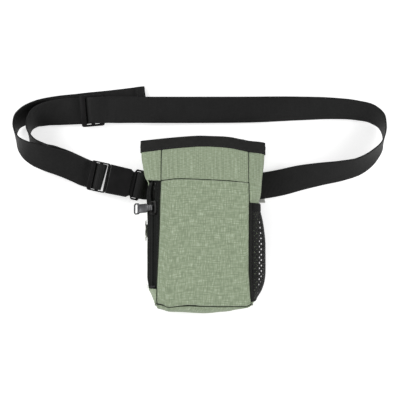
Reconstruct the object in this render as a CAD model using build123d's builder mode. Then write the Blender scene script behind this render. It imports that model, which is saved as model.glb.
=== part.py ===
from build123d import *

import os
from math import cos, radians, sin, sqrt

# A treat pouch on a waist belt, lying on its back.
#
# Origin: on the back face, at the middle of the pouch. +X is the wearer's left, +Y points to the
# mouth, and +Z points from the back panel to the front. All sizes are in millimetres.

# --- driving sizes of the pouch -----------------------------------------------------------------
cloth = 1.5                   # thickness of a lined fabric panel
body_half = 53.0              # half the width of the belly
mouth_flare = 6.0             # how much further out the mouth's corners stand
fold_flare = 0.6              # the same at the flap's hinge line
shoulder_run = 12.0           # width of each shoulder, from the front seam out to the side
base_half = 45.5              # half the width at the bottom
base_inset = 2.7              # from there in to the foot of the front seam
bottom_y = -75.0              # bottom seam
corner_y = -60.0              # where the bottom corners start to round off
hinge_y = 41.0                # top seam of the front pocket, where the flap bends
mouth_y = 83.8                # middle of the mouth's rim
mouth_radius = 325.0          # the rim is a shallow arc
trim_room = 6.0               # panels run this far past the rim before they are trimmed to its arc
binding_depth = 11.0
binding_thickness = 2.4
spring = 0.4                  # thickness of the spring strip in each binding
spring_groove = 0.7
spring_clear = 0.1
spring_width = 8.0
spring_inset = 3.0            # how much shorter the strip is than the front, at each end
hinge_z = 29.0                # height of the front at the flap's hinge line
front_slope = 0.1188          # rise of the front towards the bottom, per millimetre
base_z = 36.5                 # height of the front at the bottom seam
flap_slope = 0.367            # fall of the flap towards the mouth, per millimetre
shoulder_drop = 10.0          # height from the front seam down to the gusset's fold
shoulder_end_z = 8.6          # height of the gusset's fold at the mouth
pocket_depth = 9.6            # clear depth of the front pocket
seam_gap = 0.2                # running gap between neighbouring panels of one body
flap_gap = 0.3                # gap between the flap and the rest
bottom_bulge = 8.1            # how far the bottom panel swells past its seam at the back
bottom_top_bulge = 2.0        # the same at the front

# --- back panel, sleeve for the belt and patch --------------------------------------------------
webbing_width = 25.0
webbing = 1.2                 # thickness of the belt
patch = 1.0                   # thickness of the back patch
sleeve = 3.4                  # clear height between the patch and the back panel
ramp_start_y = 2.0            # the back panel lifts over the sleeve between these two
ramp_end_y = 15.0
patch_low_y = 20.1
patch_high_y = 65.0
patch_wall = 2.5
patch_left_inset = 2.0        # the patch ends inside the pouch at the buckle's side
patch_right_proud = 6.0       # and stands out at the other

# --- mesh side pocket ---------------------------------------------------------------------------
net = 0.9
band = 1.3
band_width = 7.1
net_bulge = 4.4               # how far the net stands out past the belly
net_base_inset = 5.5          # how far the net draws in at the bottom
net_base_drop = 3.5           # and how far its seam drops there
net_bottom_y = -71.0
net_top_y = 19.7
net_seam_inset = 2.2          # from the front seam to the net's own seam
net_seam_drop = 0.3           # how far the net's seam lies under the gusset's edge
net_knee_in = 3.6             # the net's rounded shoulder: in from its side
net_knee_rise = 1.8           # and up from the gusset's fold
net_side_drop = 7.0           # the net's side starts this far under the gusset's fold
net_foot_z = 9.0              # where the net turns in to its foot
net_hem_z = 0.5               # height of the foot
net_press = 2.0               # how far the filled net presses the gusset in
piping = 1.2

# --- zip ----------------------------------------------------------------------------------------
zip_bottom_x = -59.1          # along the zip, from the level of the origin
zip_top_x = 40.7
tape = 0.9
coil_width = 1.4
coil_height = 1.2
coil_gap = 0.4                # between the two coil rows
zip_open = 2.9                # half the opening above the slider
zip_spread = 1.0              # the tapes part and stay parted this far from the slider's middle and end
zip_close_run = 6.0           # the tapes come together again over this length
coil_start_gap = 1.0          # from the bottom stop to the first coil
slider_x = 15.5
slider_length = 13.0
slider_width = 8.6
slider_corner = 2.4
slider_flange = 0.8           # thickness of the flanges that hold the coils in
slider_flange_short = 5.0     # how much shorter they are than the slider
slider_plate = 1.3
slider_clear = 0.3
neck_length = 3.0
neck_width = 1.6
bridge_height = 2.4           # from the slider's top plate to the middle of its bridge
bridge_bar = 1.2              # diameter
bridge_length = 8.8
bridge_post = 1.2
pull_length = 21.0
pull_eye_width = 5.2
pull_eye = 3.0                # outer diameter of the eye rolled round the bridge
pull_eye_clear = 0.15
pull_width = 8.5
pull_ring_width = 10.7
pull_thickness = 1.2
pull_shoulder = 6.0           # where the blade gets its full width
pull_ring_length = 6.0
pull_ring_hole = 3.4
pull_ring_rim = 1.2
pull_ring_corner = 1.6
pull_step = 1.0               # length of the step between blade and ring
pull_recess = 0.3             # depth of the blade's sunk face
pull_recess_rim = 1.0
stop_length = 2.0

# --- eyelet -------------------------------------------------------------------------------------
eyelet_y = -6.3
eyelet_z = 12.4
eyelet_bore = 5.5             # radius
eyelet_wall = 0.8
eyelet_flange = 10.0          # radius
eyelet_plate = 0.9
eyelet_clear = 0.2
eyelet_round = 0.6            # rounding of the outer flange
washer_inset = 1.0            # the washer behind is this much smaller

# --- side-release buckle ------------------------------------------------------------------------
buckle_x = -108.5             # the free edge of its ladder
buckle_y = 46.8
buckle_turn = -12.2           # degrees that its length turns from +X
buckle_mid_z = 5.5
frame_half = 14.2
frame_corner = 2.0
frame_bevel = 0.5
frame_bar = 4.2
frame_slot = 3.4
centre_bar = 3.2
wedge_slot = 4.8
frame_block = 2.4
slot_half = 12.9
frame_thickness = 4.9
bar_thickness = 3.0
prong_half = 2.2
prong_thickness = 3.0
prong_reach = 18.0
arm_thickness = 4.2
arm_root = 9.0                # from the buckle's middle line to an arm's hinge
arm_width = 2.6
arm_reach = 17.0
catch_depth = 1.6
catch_start = 12.3            # from the arm's root to its catch
catch_flat = 1.2              # length of the catch's outer face
arm_tip = 2.0                 # length of the tapered tip
arm_taper = 0.4
arm_gap = 0.3
shell_half = 13.9
shell_thickness = 8.4
shell_wall = 1.6
shell_round = 1.4
shell_length = 22.5
shell_shoulder = 3.0          # length over which the shell narrows to its neck
shell_taper = 0.4
cavity_half = 11.9
cavity_length = 20.6
window_length = 6.6
rear_half = 14.6
rear_neck_half = 11.4
rear_length = 9.6
rear_thickness = 5.0
rear_overlap = 2.0            # how far the rear frame runs into the shell
rear_corner = 1.6
rear_corner_run = 1.2
rear_flare_start = 0.5        # the neck widens to the rear frame between these two
rear_flare_end = 2.4
rear_bar = 3.0
rear_bar_low = 3.3            # height of the bar that the tab wraps
rear_slot = 3.9
rear_cut_room = 1.0

# --- tri-glide ----------------------------------------------------------------------------------
glide_x = -105.9
glide_y = 107.4
glide_turn = 5.0
glide_length = 21.6
glide_half = 14.9
glide_corner = 2.0
glide_bar = 3.6
glide_slot = 4.3
glide_low_z = 3.5
glide_thickness = 2.2

# --- the belt's route: x, y, z, the compass bearing of its upper edge and its lean from flat ----
belt_route = [
    (30.4, 36.4, 2.6, 90, 0), (55.1, 36.4, 2.6, 90, 0), (72.2, 39.3, 2.6, 100, 0),
    (91.2, 43.9, 2.6, 102, 0), (110.2, 47.4, 4.9, 100, 14), (129.2, 50.4, 9.3, 100, 32),
    (146.3, 55.2, 13.8, 100, 48), (159.5, 65.0, 17.3, 95, 58), (167.2, 75.5, 18.3, 90, 63),
    (169.5, 86.5, 15.8, 88, 62), (167.0, 96.5, 12.8, 85, 56), (158.5, 103.6, 11.6, 85, 50),
    (143.3, 107.4, 11.0, 88, 46), (121.5, 109.2, 9.6, 90, 40), (91.2, 109.3, 7.4, 90, 30),
    (43.7, 108.4, 4.7, 90, 14), (-3.8, 108.2, 3.6, 90, 6), (-41.8, 108.2, 4.0, 90, 2),
    (-72.0, 108.2, 4.2, 91, 0), (-84.5, 108.1, 4.4, 93, 0), (-91.0, 108.1, 6.5, 94, 0),
    (-95.5, 107.9, 6.9, 95, 0), (-105.5, 107.6, 6.9, 95, 0), (-107.9, 107.5, 6.6, 95, 0),
    (-109.0, 107.4, 5.6, 95, 0), (-110.3, 107.3, 3.6, 95, 0), (-111.4, 107.2, 2.8, 95, 0),
    (-114.0, 107.2, 2.6, 94, 0), (-120.5, 107.0, 2.6, 92, 0),
    (-134.9, 106.0, 5.3, 90, 14), (-149.2, 104.0, 9.4, 92, 30), (-159.2, 100.0, 12.8, 95, 46),
    (-164.0, 93.5, 15.3, 95, 58), (-164.8, 86.0, 16.8, 95, 62), (-161.5, 78.4, 18.0, 90, 60),
    (-153.9, 70.3, 16.5, 78, 50), (-142.5, 63.3, 11.2, 71, 30), (-131.0, 57.6, 6.0, 71, 12),
    (-120.0, 52.3, 2.2, 76, 2), (-112.0, 48.8, 1.5, 77.8, 0), (-104.0, 45.9, 1.5, 77.8, 0),
    (-97.8, 44.5, 1.6, 77.8, 0), (-96.1, 44.1, 2.5, 77.8, 0), (-95.6, 44.0, 4.6, 77.8, 0),
    (-96.3, 44.2, 6.6, 77.8, 0), (-98.2, 44.6, 7.6, 77.8, 0), (-100.6, 45.1, 7.5, 77.8, 0),
    (-102.5, 45.5, 6.4, 77.8, 0), (-103.6, 45.8, 4.6, 77.8, 0), (-105.2, 46.2, 3.6, 77.8, 0),
    (-108.0, 46.9, 3.4, 77.8, 0), (-112.5, 48.2, 3.4, 77, 0), (-119.0, 51.2, 5.2, 76, 4),
    (-132.1, 56.6, 10.7, 75, 17), (-146.3, 61.2, 16.2, 76, 30), (-157.7, 65.4, 18.6, 79, 41),
    (-167.7, 71.0, 19.6, 84, 51), (-174.8, 78.5, 19.0, 89, 60), (-177.8, 88.5, 15.5, 93, 63),
    (-175.8, 96.4, 12.9, 98, 59), (-169.0, 102.2, 10.6, 102, 50), (-158.8, 105.7, 7.8, 102, 34),
    (-147.0, 107.8, 5.1, 102, 19), (-135.0, 109.5, 2.8, 101, 9), (-122.0, 111.0, 1.0, 99, 0),
    (-108.0, 112.6, 0.8, 97, 0), (-94.3, 113.9, 0.8, 96, 0), (-55.2, 118.5, 0.8, 96, 0),
]
hem_length = 9.0
hem_gap = 0.2

# --- the female half's tab: x, y, z and bearing, from under the pouch round the bar and back ----
tab_route = [
    (-12.0, 36.4, 1.8, 90), (-44.0, 36.3, 1.8, 88), (-52.0, 35.6, 1.8, 83),
    (-58.8, 36.1, 2.2, 77.8), (-61.8, 36.7, 2.3, 77.8), (-63.5, 37.1, 3.2, 77.8),
    (-64.1, 37.2, 4.8, 77.8), (-63.5, 37.1, 6.4, 77.8), (-61.8, 36.7, 7.3, 77.8),
    (-59.1, 36.1, 7.2, 77.8), (-57.9, 35.9, 6.6, 79), (-57.0, 35.7, 4.6, 82),
    (-56.0, 35.6, 3.5, 85), (-44.0, 36.3, 3.4, 88), (-14.0, 36.4, 3.4, 90),
]

# --- what follows from the driving sizes --------------------------------------------------------
mouth_half = body_half + mouth_flare
fold_half = body_half + fold_flare
front_half = body_half - shoulder_run           # half the width between the two front seams
front_base_half = base_half - base_inset        # the same at the bottom seam
net_stand = body_half + net_bulge
net_seam_x = front_half + net_seam_inset
patch_left_x = patch_left_inset - body_half
patch_right_x = body_half + patch_right_proud
back_lift = patch + sleeve                      # underside of the back panel over the sleeve
rim_y = mouth_y + trim_room                     # panels are lofted past the rim and then trimmed
rim_centre_y = mouth_y - mouth_radius
far = 4 * mouth_half                            # reach of the trimming shapes


def front_z(y):
    """Height of the front pocket's outer face."""
    return hinge_z + (hinge_y - y) * front_slope


def flap_z(y):
    """Height of the flap's outer face."""
    return hinge_z - (y - hinge_y) * flap_slope


def fold_x(y):
    """Half the width of the pouch beside the flap."""
    return fold_half + (y - hinge_y) * (mouth_half - fold_half) / (mouth_y - hinge_y)


def fold_z(y):
    """Height of the gusset's fold beside the flap."""
    start = hinge_z - shoulder_drop
    return start + (y - hinge_y) * (shoulder_end_z - start) / (mouth_y - hinge_y)


def lofted(sections):
    """A panel lofted through straight-sided sections, each an (x, z) outline at its own y."""
    with BuildPart() as panel:
        for y, outline in sections:
            with BuildSketch(Plane.XZ.offset(-y)):
                with BuildLine():
                    Polyline(*outline, close=True)
                make_face()
        loft(ruled=True)
    return panel.part


def sheet(y, x_from, z_from, x_to, z_to, x_shift, z_shift):
    """A section of a sheet: its outer line, and the same line shifted inward."""
    return (y, [(x_from, z_from), (x_to, z_to), (x_to + x_shift, z_to + z_shift),
                (x_from + x_shift, z_from + z_shift)])


def mirrored(sections):
    return [(y, [(-x, z) for x, z in outline]) for y, outline in sections]


def ribbon(stations, width, thickness):
    """A strap through stations of (point, direction of its upper edge)."""
    with BuildPart() as strap:
        for number, (point, upper) in enumerate(stations):
            before = stations[max(number - 1, 0)][0]
            after = stations[min(number + 1, len(stations) - 1)][0]
            along = (after - before).normalized()
            across = (upper - along * upper.dot(along)).normalized()
            with BuildSketch(Plane(origin=point, x_dir=across, z_dir=along)):
                Rectangle(width, thickness)
        loft(ruled=True)
    return strap.part


def bearing(turn, lean=0.0):
    """A unit vector at a compass turn from +X and a lean up from flat."""
    turn, lean = radians(turn), radians(lean)
    return Vector(cos(turn) * cos(lean), sin(turn) * cos(lean), sin(lean))


def rim_zone(low_radius, high_radius):
    """Everything between two arcs that run along the mouth, from above."""
    with BuildPart() as zone:
        with BuildSketch(Plane.XY.offset(-far)):
            with Locations((0, rim_centre_y)):
                Circle(high_radius)
                if low_radius:
                    Circle(low_radius, mode=Mode.SUBTRACT)
        extrude(amount=2 * far)
    return zone.part


under_rim = rim_zone(0, mouth_radius - binding_depth)
rim = rim_zone(mouth_radius - binding_depth, mouth_radius)

parts = []


def finish(builder, name):
    """Label a finished piece and keep it for export."""
    builder.part.label = name
    parts.append(builder.part)


# --- back panel ---------------------------------------------------------------------------------
back_stations = [(bottom_y, base_half, 0), (corner_y, body_half, 0), (ramp_start_y, body_half, 0),
                 (ramp_end_y, body_half, back_lift), (hinge_y, fold_half, back_lift),
                 (rim_y, fold_x(rim_y), back_lift)]
with BuildPart() as back_panel:
    add(lofted([sheet(y, -half, z, half, z, 0, cloth) for y, half, z in back_stations]))
    add(under_rim, mode=Mode.INTERSECT)
finish(back_panel, "back_panel")

# --- bottom panel: bulges between the back and the front pocket ---------------------------------
bottom_sections = [(0.0, base_half, bottom_bulge), (base_z / 2, base_half, bottom_bulge - 1.0),
                   (base_z, front_base_half, bottom_top_bulge)]
bottom_edge_y = bottom_y - seam_gap
with BuildPart() as bottom_panel:
    for z, half, bulge in bottom_sections:
        with BuildSketch(Plane.XY.offset(z)):
            with BuildLine():
                inner_half = half - cloth
                outer_low_y = bottom_edge_y - bulge
                ThreePointArc((-half, bottom_edge_y), (0, outer_low_y), (half, bottom_edge_y))
                Line((half, bottom_edge_y), (inner_half, bottom_edge_y))
                ThreePointArc((inner_half, bottom_edge_y), (0, outer_low_y + cloth),
                              (-inner_half, bottom_edge_y))
                Line((-inner_half, bottom_edge_y), (-half, bottom_edge_y))
            make_face()
    loft(ruled=True)
    with BuildSketch():
        with BuildLine():
            floor_half = base_half - cloth / 2
            floor_low_y = bottom_edge_y - bottom_bulge + cloth / 2
            ThreePointArc((-floor_half, bottom_edge_y), (0, floor_low_y), (floor_half, bottom_edge_y))
            Line((floor_half, bottom_edge_y), (-floor_half, bottom_edge_y))
        make_face()
    extrude(amount=cloth)
finish(bottom_panel, "bottom_panel")

# --- gussets ------------------------------------------------------------------------------------
wall_drop = shoulder_drop + cloth               # from the front seam to the top of the left wall


def wall_section(y, x, low, high):
    """A section of a side wall that stands on the back panel."""
    return (y, [(-x, low), (-x, high), (cloth - x, high), (cloth - x, low)])


back_top = cloth + seam_gap
raised_top = back_lift + back_top
wall_end_y = mouth_y - binding_depth            # the rim's arc trims the side walls just before this
rear_walls = [wall_section(y, fold_x(y), raised_top, fold_z(y) - cloth - flap_gap)
              for y in (hinge_y, wall_end_y)]
left_walls = [wall_section(bottom_y, base_half, back_top, base_z - wall_drop),
              wall_section(corner_y, body_half, back_top, front_z(corner_y) - wall_drop),
              wall_section(ramp_start_y, body_half, back_top, front_z(ramp_start_y) - wall_drop),
              wall_section(ramp_end_y, body_half, raised_top, front_z(ramp_end_y) - wall_drop),
              wall_section(hinge_y, fold_half, raised_top, hinge_z - wall_drop)]
with BuildPart() as left_gusset:
    add(lofted(left_walls))
    add(lofted(rear_walls))
    with BuildSketch(Plane(origin=(-body_half - cloth, eyelet_y, eyelet_z), z_dir=(1, 0, 0))):
        Circle(eyelet_bore + eyelet_wall + eyelet_clear)
    extrude(amount=4 * cloth, mode=Mode.SUBTRACT)
    add(under_rim, mode=Mode.INTERSECT)
finish(left_gusset, "left_gusset")



def shoulder_section(y, seam_x, top_z, side_x):
    """A section of the left shoulder below the zip."""
    return sheet(y, -seam_x - seam_gap, top_z, -side_x, top_z - shoulder_drop, 0, seam_gap - cloth)


with BuildPart() as left_lower_shoulder:
    add(lofted([shoulder_section(bottom_y, front_base_half, base_z, base_half),
                shoulder_section(corner_y, front_half, front_z(corner_y), body_half)]))
finish(left_lower_shoulder, "left_lower_shoulder")


def right_section(y, seam_x, top_z, shoulder_x, low_x, low_z):
    """A section of the right gusset: shoulder and wall in one."""
    knee_z = top_z - shoulder_drop
    return (y, [(seam_x, top_z), (shoulder_x, knee_z), (low_x, low_z), (low_x - cloth, low_z),
                (shoulder_x - cloth, knee_z - seam_gap), (seam_x, top_z - cloth)])


pressed_knee_x = body_half - net_press / 2      # the filled net presses the wall in, most at its foot
pressed_foot_x = body_half - 1.5 * net_press
gusset_seam_x = front_half + seam_gap
pressed_stations = ((corner_y, back_top), (ramp_start_y, back_top), (ramp_end_y, raised_top))
right_sections = [right_section(bottom_y, front_base_half + seam_gap, base_z, base_half, base_half, back_top)]
right_sections += [right_section(y, gusset_seam_x, front_z(y), pressed_knee_x, pressed_foot_x, low_z)
                   for y, low_z in pressed_stations]
right_sections += [right_section(hinge_y, gusset_seam_x, hinge_z, fold_half, fold_half, raised_top)]
with BuildPart() as right_gusset:
    add(lofted(right_sections))
    add(lofted(mirrored(rear_walls)))
    add(under_rim, mode=Mode.INTERSECT)
finish(right_gusset, "right_gusset")

# --- front pocket panel and the main front panel behind it --------------------------------------
top_y = hinge_y - flap_gap
pocket_stations = [(bottom_y, front_base_half, base_z), (corner_y, front_half, front_z(corner_y)),
                   (top_y, front_half, front_z(top_y))]
with BuildPart() as front_pocket_panel:
    add(lofted([sheet(y, -half, z, half, z, 0, -cloth) for y, half, z in pocket_stations]))
finish(front_pocket_panel, "front_pocket_panel")

inner_drop = pocket_depth + cloth
meet_y = hinge_y - inner_drop / 2               # where the inner panel turns up to the pocket's top seam
inner_base = base_half - 2 * cloth
inner_top = front_half - seam_gap
inner_left = body_half - cloth - seam_gap
inner_right = pressed_foot_x - seam_gap
inner_stations = [(bottom_y, inner_base, inner_base, base_z - inner_drop),
                  (corner_y, inner_left, inner_right, front_z(corner_y) - inner_drop),
                  (meet_y, inner_left - cloth, inner_right, front_z(meet_y) - inner_drop),
                  (top_y, inner_top, inner_top, front_z(top_y) - cloth - seam_gap)]
with BuildPart() as main_front_panel:
    for y, left, right, z in inner_stations:
        with BuildSketch(Plane.XZ.offset(-y)):
            with BuildLine():
                Polyline((-left, z), (right, z), (right, z - cloth), (-left, z - cloth), close=True)
            make_face()
    loft(ruled=True)
finish(main_front_panel, "main_front_panel")

# --- flap: the front above the pocket, which bends outward to open the mouth --------------------
flap_low_y = hinge_y + flap_gap
flap_stations = (flap_low_y, rim_y)
with BuildPart() as flap_panel:
    add(lofted([sheet(y, -front_half, flap_z(y), front_half, flap_z(y), 0, -cloth)
                for y in flap_stations]))
    add(under_rim, mode=Mode.INTERSECT)
finish(flap_panel, "flap_panel")

fold_sections = [sheet(y, -front_half - seam_gap, flap_z(y), -fold_x(y), fold_z(y), 0, -cloth)
                 for y in flap_stations]
with BuildPart() as left_flap_fold:
    add(lofted(fold_sections))
    add(under_rim, mode=Mode.INTERSECT)
finish(left_flap_fold, "left_flap_fold")
with BuildPart() as right_flap_fold:
    add(lofted(mirrored(fold_sections)))
    add(under_rim, mode=Mode.INTERSECT)
finish(right_flap_fold, "right_flap_fold")

# --- bindings round the mouth, each with a flat spring in a groove on its inner side ------------
proud = (binding_thickness - cloth) / 2         # how far the binding stands off the panel
spring_half = front_half - spring_inset
spring_low = mouth_radius - (binding_depth + spring_width) / 2
spring_high = spring_low + spring_width
spring_zone = rim_zone(spring_low, spring_high)
groove_zone = rim_zone(spring_low - seam_gap, spring_high + seam_gap)
binding_y = mouth_y - 2 * binding_depth
binding_stations = (binding_y, rim_y)


def strip(half, top, thickness):
    """A flat strip that follows a height given along y."""
    return lofted([sheet(y, -half, top(y), half, top(y), 0, -thickness) for y in binding_stations])


def front_binding_section(y):
    """The front binding follows the flap and its two folds."""
    side, high, low = fold_x(y), flap_z(y) + proud, fold_z(y) + proud
    top = [(-side, low), (-front_half, high), (front_half, high), (side, low)]
    return (y, top + [(x, z - binding_thickness) for x, z in reversed(top)])


def front_inner(y):
    """Height of the front binding's inner face."""
    return flap_z(y) + proud - binding_thickness


def back_inner(y):
    """Height of the back binding's inner face."""
    return back_lift + binding_thickness


def groove(face):
    """The spring's groove, cut to one depth in a binding's inner face."""
    with BuildPart() as cut:
        add(strip(spring_half + seam_gap, lambda y: face(y) + spring_groove, 2 * spring_groove))
        add(groove_zone, mode=Mode.INTERSECT)
    return cut.part


def spring_strip(top):
    """A spring strip with its upper face at a height given along y."""
    with BuildPart() as flat:
        add(strip(spring_half, top, spring))
        add(spring_zone, mode=Mode.INTERSECT)
    return flat.part


front_groove = groove(front_inner)
with BuildPart() as front_binding:
    add(lofted([front_binding_section(y) for y in binding_stations]))
    add(rim, mode=Mode.INTERSECT)
    add(front_groove, mode=Mode.SUBTRACT)
finish(front_binding, "front_binding")
with BuildPart() as front_spring:
    add(spring_strip(lambda y: front_inner(y) + spring_groove - spring_clear))
finish(front_spring, "front_spring")

back_groove = groove(back_inner)
with BuildPart() as back_binding:
    add(lofted([sheet(y, -fold_x(y), back_inner(y), fold_x(y), back_inner(y), 0, -binding_thickness)
                for y in binding_stations]))
    add(rim, mode=Mode.INTERSECT)
    add(back_groove, mode=Mode.SUBTRACT)
finish(back_binding, "back_binding")
with BuildPart() as back_spring:
    add(spring_strip(lambda y: back_inner(y) - spring_groove + spring_clear + spring))
finish(back_spring, "back_spring")

# --- mesh side pocket ---------------------------------------------------------------------------
def net_section(y, top_z, stand, thickness, proud=0.0):
    """A section of the net: from its seam over the shoulder and down the side."""
    seam_z = top_z - net_seam_drop
    knee_x = stand - net_knee_in
    knee_z = top_z - shoulder_drop + net_knee_rise
    side_z = top_z - shoulder_drop - net_side_drop
    foot_x = body_half + seam_gap
    return (y, [(net_seam_x, seam_z + proud), (knee_x + proud, knee_z + proud),
                (stand + proud, side_z), (stand + proud, net_foot_z),
                (foot_x + thickness, net_hem_z), (foot_x, net_hem_z),
                (stand - thickness, net_foot_z + seam_gap), (stand - thickness, side_z),
                (knee_x - thickness / 2, knee_z - thickness / 2),
                (net_seam_x, seam_z - thickness)])


net_band_y = net_top_y - band_width
with BuildPart() as mesh_pocket_net:
    add(lofted([net_section(net_bottom_y, front_z(corner_y) - net_base_drop,
                            net_stand - net_base_inset, net),
                net_section(corner_y, front_z(corner_y), net_stand, net),
                net_section(net_band_y - seam_gap, front_z(net_band_y), net_stand, net)]))
finish(mesh_pocket_net, "mesh_pocket_net")
with BuildPart() as mesh_pocket_band:
    add(lofted([net_section(y, front_z(y), net_stand, net, band - net) for y in (net_band_y, net_top_y)]))
finish(mesh_pocket_band, "mesh_pocket_band")
with BuildPart() as mesh_pocket_piping:
    for y in (corner_y, net_top_y):
        with BuildSketch(Plane.XZ.offset(-y)):
            with Locations((net_seam_x - piping, front_z(y) + piping / 2)):
                Circle(piping / 2)
    loft(ruled=True)
finish(mesh_pocket_piping, "mesh_pocket_piping")

# --- back patch: a shallow channel that the belt and the tab lie in -----------------------------
with BuildPart() as back_patch:
    with BuildSketch(Plane.YZ.offset(patch_left_x)):
        with BuildLine():
            Polyline((patch_low_y, 0), (patch_high_y, 0), (patch_high_y, back_lift),
                     (patch_high_y - patch_wall, back_lift), (patch_high_y - patch_wall, patch),
                     (patch_low_y + patch_wall, patch), (patch_low_y + patch_wall, back_lift),
                     (patch_low_y, back_lift), close=True)
        make_face()
    extrude(amount=patch_right_x - patch_left_x)
finish(back_patch, "back_patch")

# --- zip: the strip lies on the left shoulder, from the front seam to the gusset's fold ---------
zip_along = Vector(0, 1, -front_slope).normalized()
zip_outward = Vector(-shoulder_drop, 0, shoulder_run)
zip_normal = (zip_outward - zip_along * zip_outward.dot(zip_along)).normalized()
zip_origin = Vector(-(front_half + shoulder_run / 2), 0, front_z(0) - shoulder_drop / 2)
zip_plane = Plane(origin=zip_origin, x_dir=zip_along, z_dir=zip_normal)
strip_half = sqrt(shoulder_run**2 + shoulder_drop**2) / 2 - seam_gap
slider_high_x = slider_x + slider_length / 2
open_start_x = slider_x - zip_spread
open_full_x = slider_high_x + zip_spread
open_end_x = zip_top_x - zip_close_run


def tape_outline(side, reach):
    """A tape's outline: shut below the slider, and bowed open above it."""
    shut = coil_gap / 2
    return [(zip_bottom_x, side * reach), (zip_bottom_x, side * shut), (open_start_x, side * shut),
            (open_full_x, side * zip_open), (open_end_x, side * zip_open), (zip_top_x, side * shut),
            (zip_top_x, side * reach)]


def coil_outline(side):
    """A coil row's outline, along the inner edge of its tape."""
    near = coil_gap / 2
    far_side = near + coil_width
    low_x = zip_bottom_x + stop_length + coil_start_gap
    return [(low_x, side * near), (open_start_x, side * near),
            (open_full_x, side * zip_open), (open_end_x, side * zip_open),
            (open_end_x, side * (zip_open + coil_width)), (open_full_x, side * (zip_open + coil_width)),
            (open_start_x, side * far_side), (low_x, side * far_side)]


for side, name, reach in ((1, "rear", strip_half), (-1, "front", strip_half - tape)):
    with BuildPart() as zip_tape:
        with BuildSketch(zip_plane.offset(-tape)):
            with BuildLine():
                Polyline(*tape_outline(side, reach), close=True)
            make_face()
        extrude(amount=tape)
    finish(zip_tape, f"zip_tape_{name}")
    with BuildPart() as zip_coil:
        with BuildSketch(zip_plane.offset(-tape - coil_height)):
            with BuildLine():
                Polyline(*coil_outline(side), close=True)
            make_face()
        extrude(amount=coil_height)
    finish(zip_coil, f"zip_coil_{name}")

with BuildPart() as zip_stops:
    with BuildSketch(zip_plane.offset(slider_clear / 2)):
        with Locations((zip_bottom_x + stop_length / 2, 0)):
            Rectangle(stop_length, 4 * coil_width)
        with Locations((zip_top_x - 1.5 * stop_length, -zip_open), (zip_top_x - 1.5 * stop_length, zip_open)):
            Rectangle(stop_length, coil_width)
    extrude(amount=tape)
finish(zip_stops, "zip_stops")

flange_y = (slider_width - slider_flange) / 2
plate_low = -tape - coil_height - slider_clear - slider_plate
bridge_z = slider_clear + slider_plate + bridge_height
bridge_plane = Plane(origin=zip_plane.from_local_coords(Vector(slider_x, 0, bridge_z)),
                     x_dir=zip_normal, z_dir=zip_along)
with BuildPart() as zip_slider:
    for height in (slider_clear, plate_low):
        with BuildSketch(zip_plane.offset(height)):
            with Locations((slider_x, 0)):
                RectangleRounded(slider_length, slider_width, slider_corner)
        extrude(amount=slider_plate)
    with BuildSketch(zip_plane.offset(plate_low)):
        with Locations((slider_high_x - neck_length / 2, 0)):
            Rectangle(neck_length, neck_width)
    extrude(amount=slider_clear + slider_plate - plate_low)
    with BuildSketch(zip_plane.offset(plate_low)):
        with Locations((slider_x, flange_y), (slider_x, -flange_y)):
            Rectangle(slider_length - slider_flange_short, slider_flange)
    extrude(amount=slider_plate + coil_height)
    with BuildSketch(zip_plane.offset(slider_clear + slider_plate)):
        with Locations((slider_x - bridge_length / 2, 0), (slider_x + bridge_length / 2, 0)):
            Rectangle(bridge_post, bridge_bar)
    extrude(amount=bridge_height + bridge_bar / 2)
    with BuildSketch(bridge_plane.offset(-bridge_length / 2)):
        Circle(bridge_bar / 2)
    extrude(amount=bridge_length)
finish(zip_slider, "zip_slider")

ring_start = pull_length - pull_ring_length
blade_end = ring_start - pull_step
eye_x = slider_x + pull_eye_width / 2
blade_x = slider_x + pull_width / 2
ring_x = slider_x + pull_ring_width / 2
hole_width = pull_ring_width - 2 * pull_ring_rim
hole_y = pull_length - pull_ring_rim - pull_ring_hole / 2
with BuildPart() as zip_pull:
    with BuildSketch(zip_plane.offset(bridge_z - pull_thickness / 2)):
        with BuildLine() as half_outline:
            Polyline((slider_x, 0), (eye_x, 0), (eye_x, pull_eye), (blade_x, pull_shoulder),
                     (blade_x, blade_end), (ring_x, ring_start + pull_step),
                     (ring_x, pull_length - pull_ring_corner),
                     (ring_x - pull_ring_corner, pull_length), (slider_x, pull_length))
            mirror(about=Plane.YZ.offset(slider_x))
        make_face()
        with Locations((slider_x, hole_y)):
            RectangleRounded(hole_width, pull_ring_hole, pull_ring_rim, mode=Mode.SUBTRACT)
    extrude(amount=pull_thickness)
    with BuildSketch(zip_plane.offset(bridge_z + pull_thickness / 2)):
        with Locations((slider_x, (pull_shoulder + blade_end) / 2)):
            Rectangle(pull_width - 2 * pull_recess_rim, blade_end - pull_shoulder)
    extrude(amount=-pull_recess, mode=Mode.SUBTRACT)
    with BuildSketch(bridge_plane.offset(-pull_eye_width / 2)):
        Circle(pull_eye / 2)
    extrude(amount=pull_eye_width)
    with BuildSketch(bridge_plane.offset(-pull_eye_width)):
        Circle(bridge_bar / 2 + pull_eye_clear)
    extrude(amount=2 * pull_eye_width, mode=Mode.SUBTRACT)
finish(zip_pull, "zip_pull")

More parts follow.
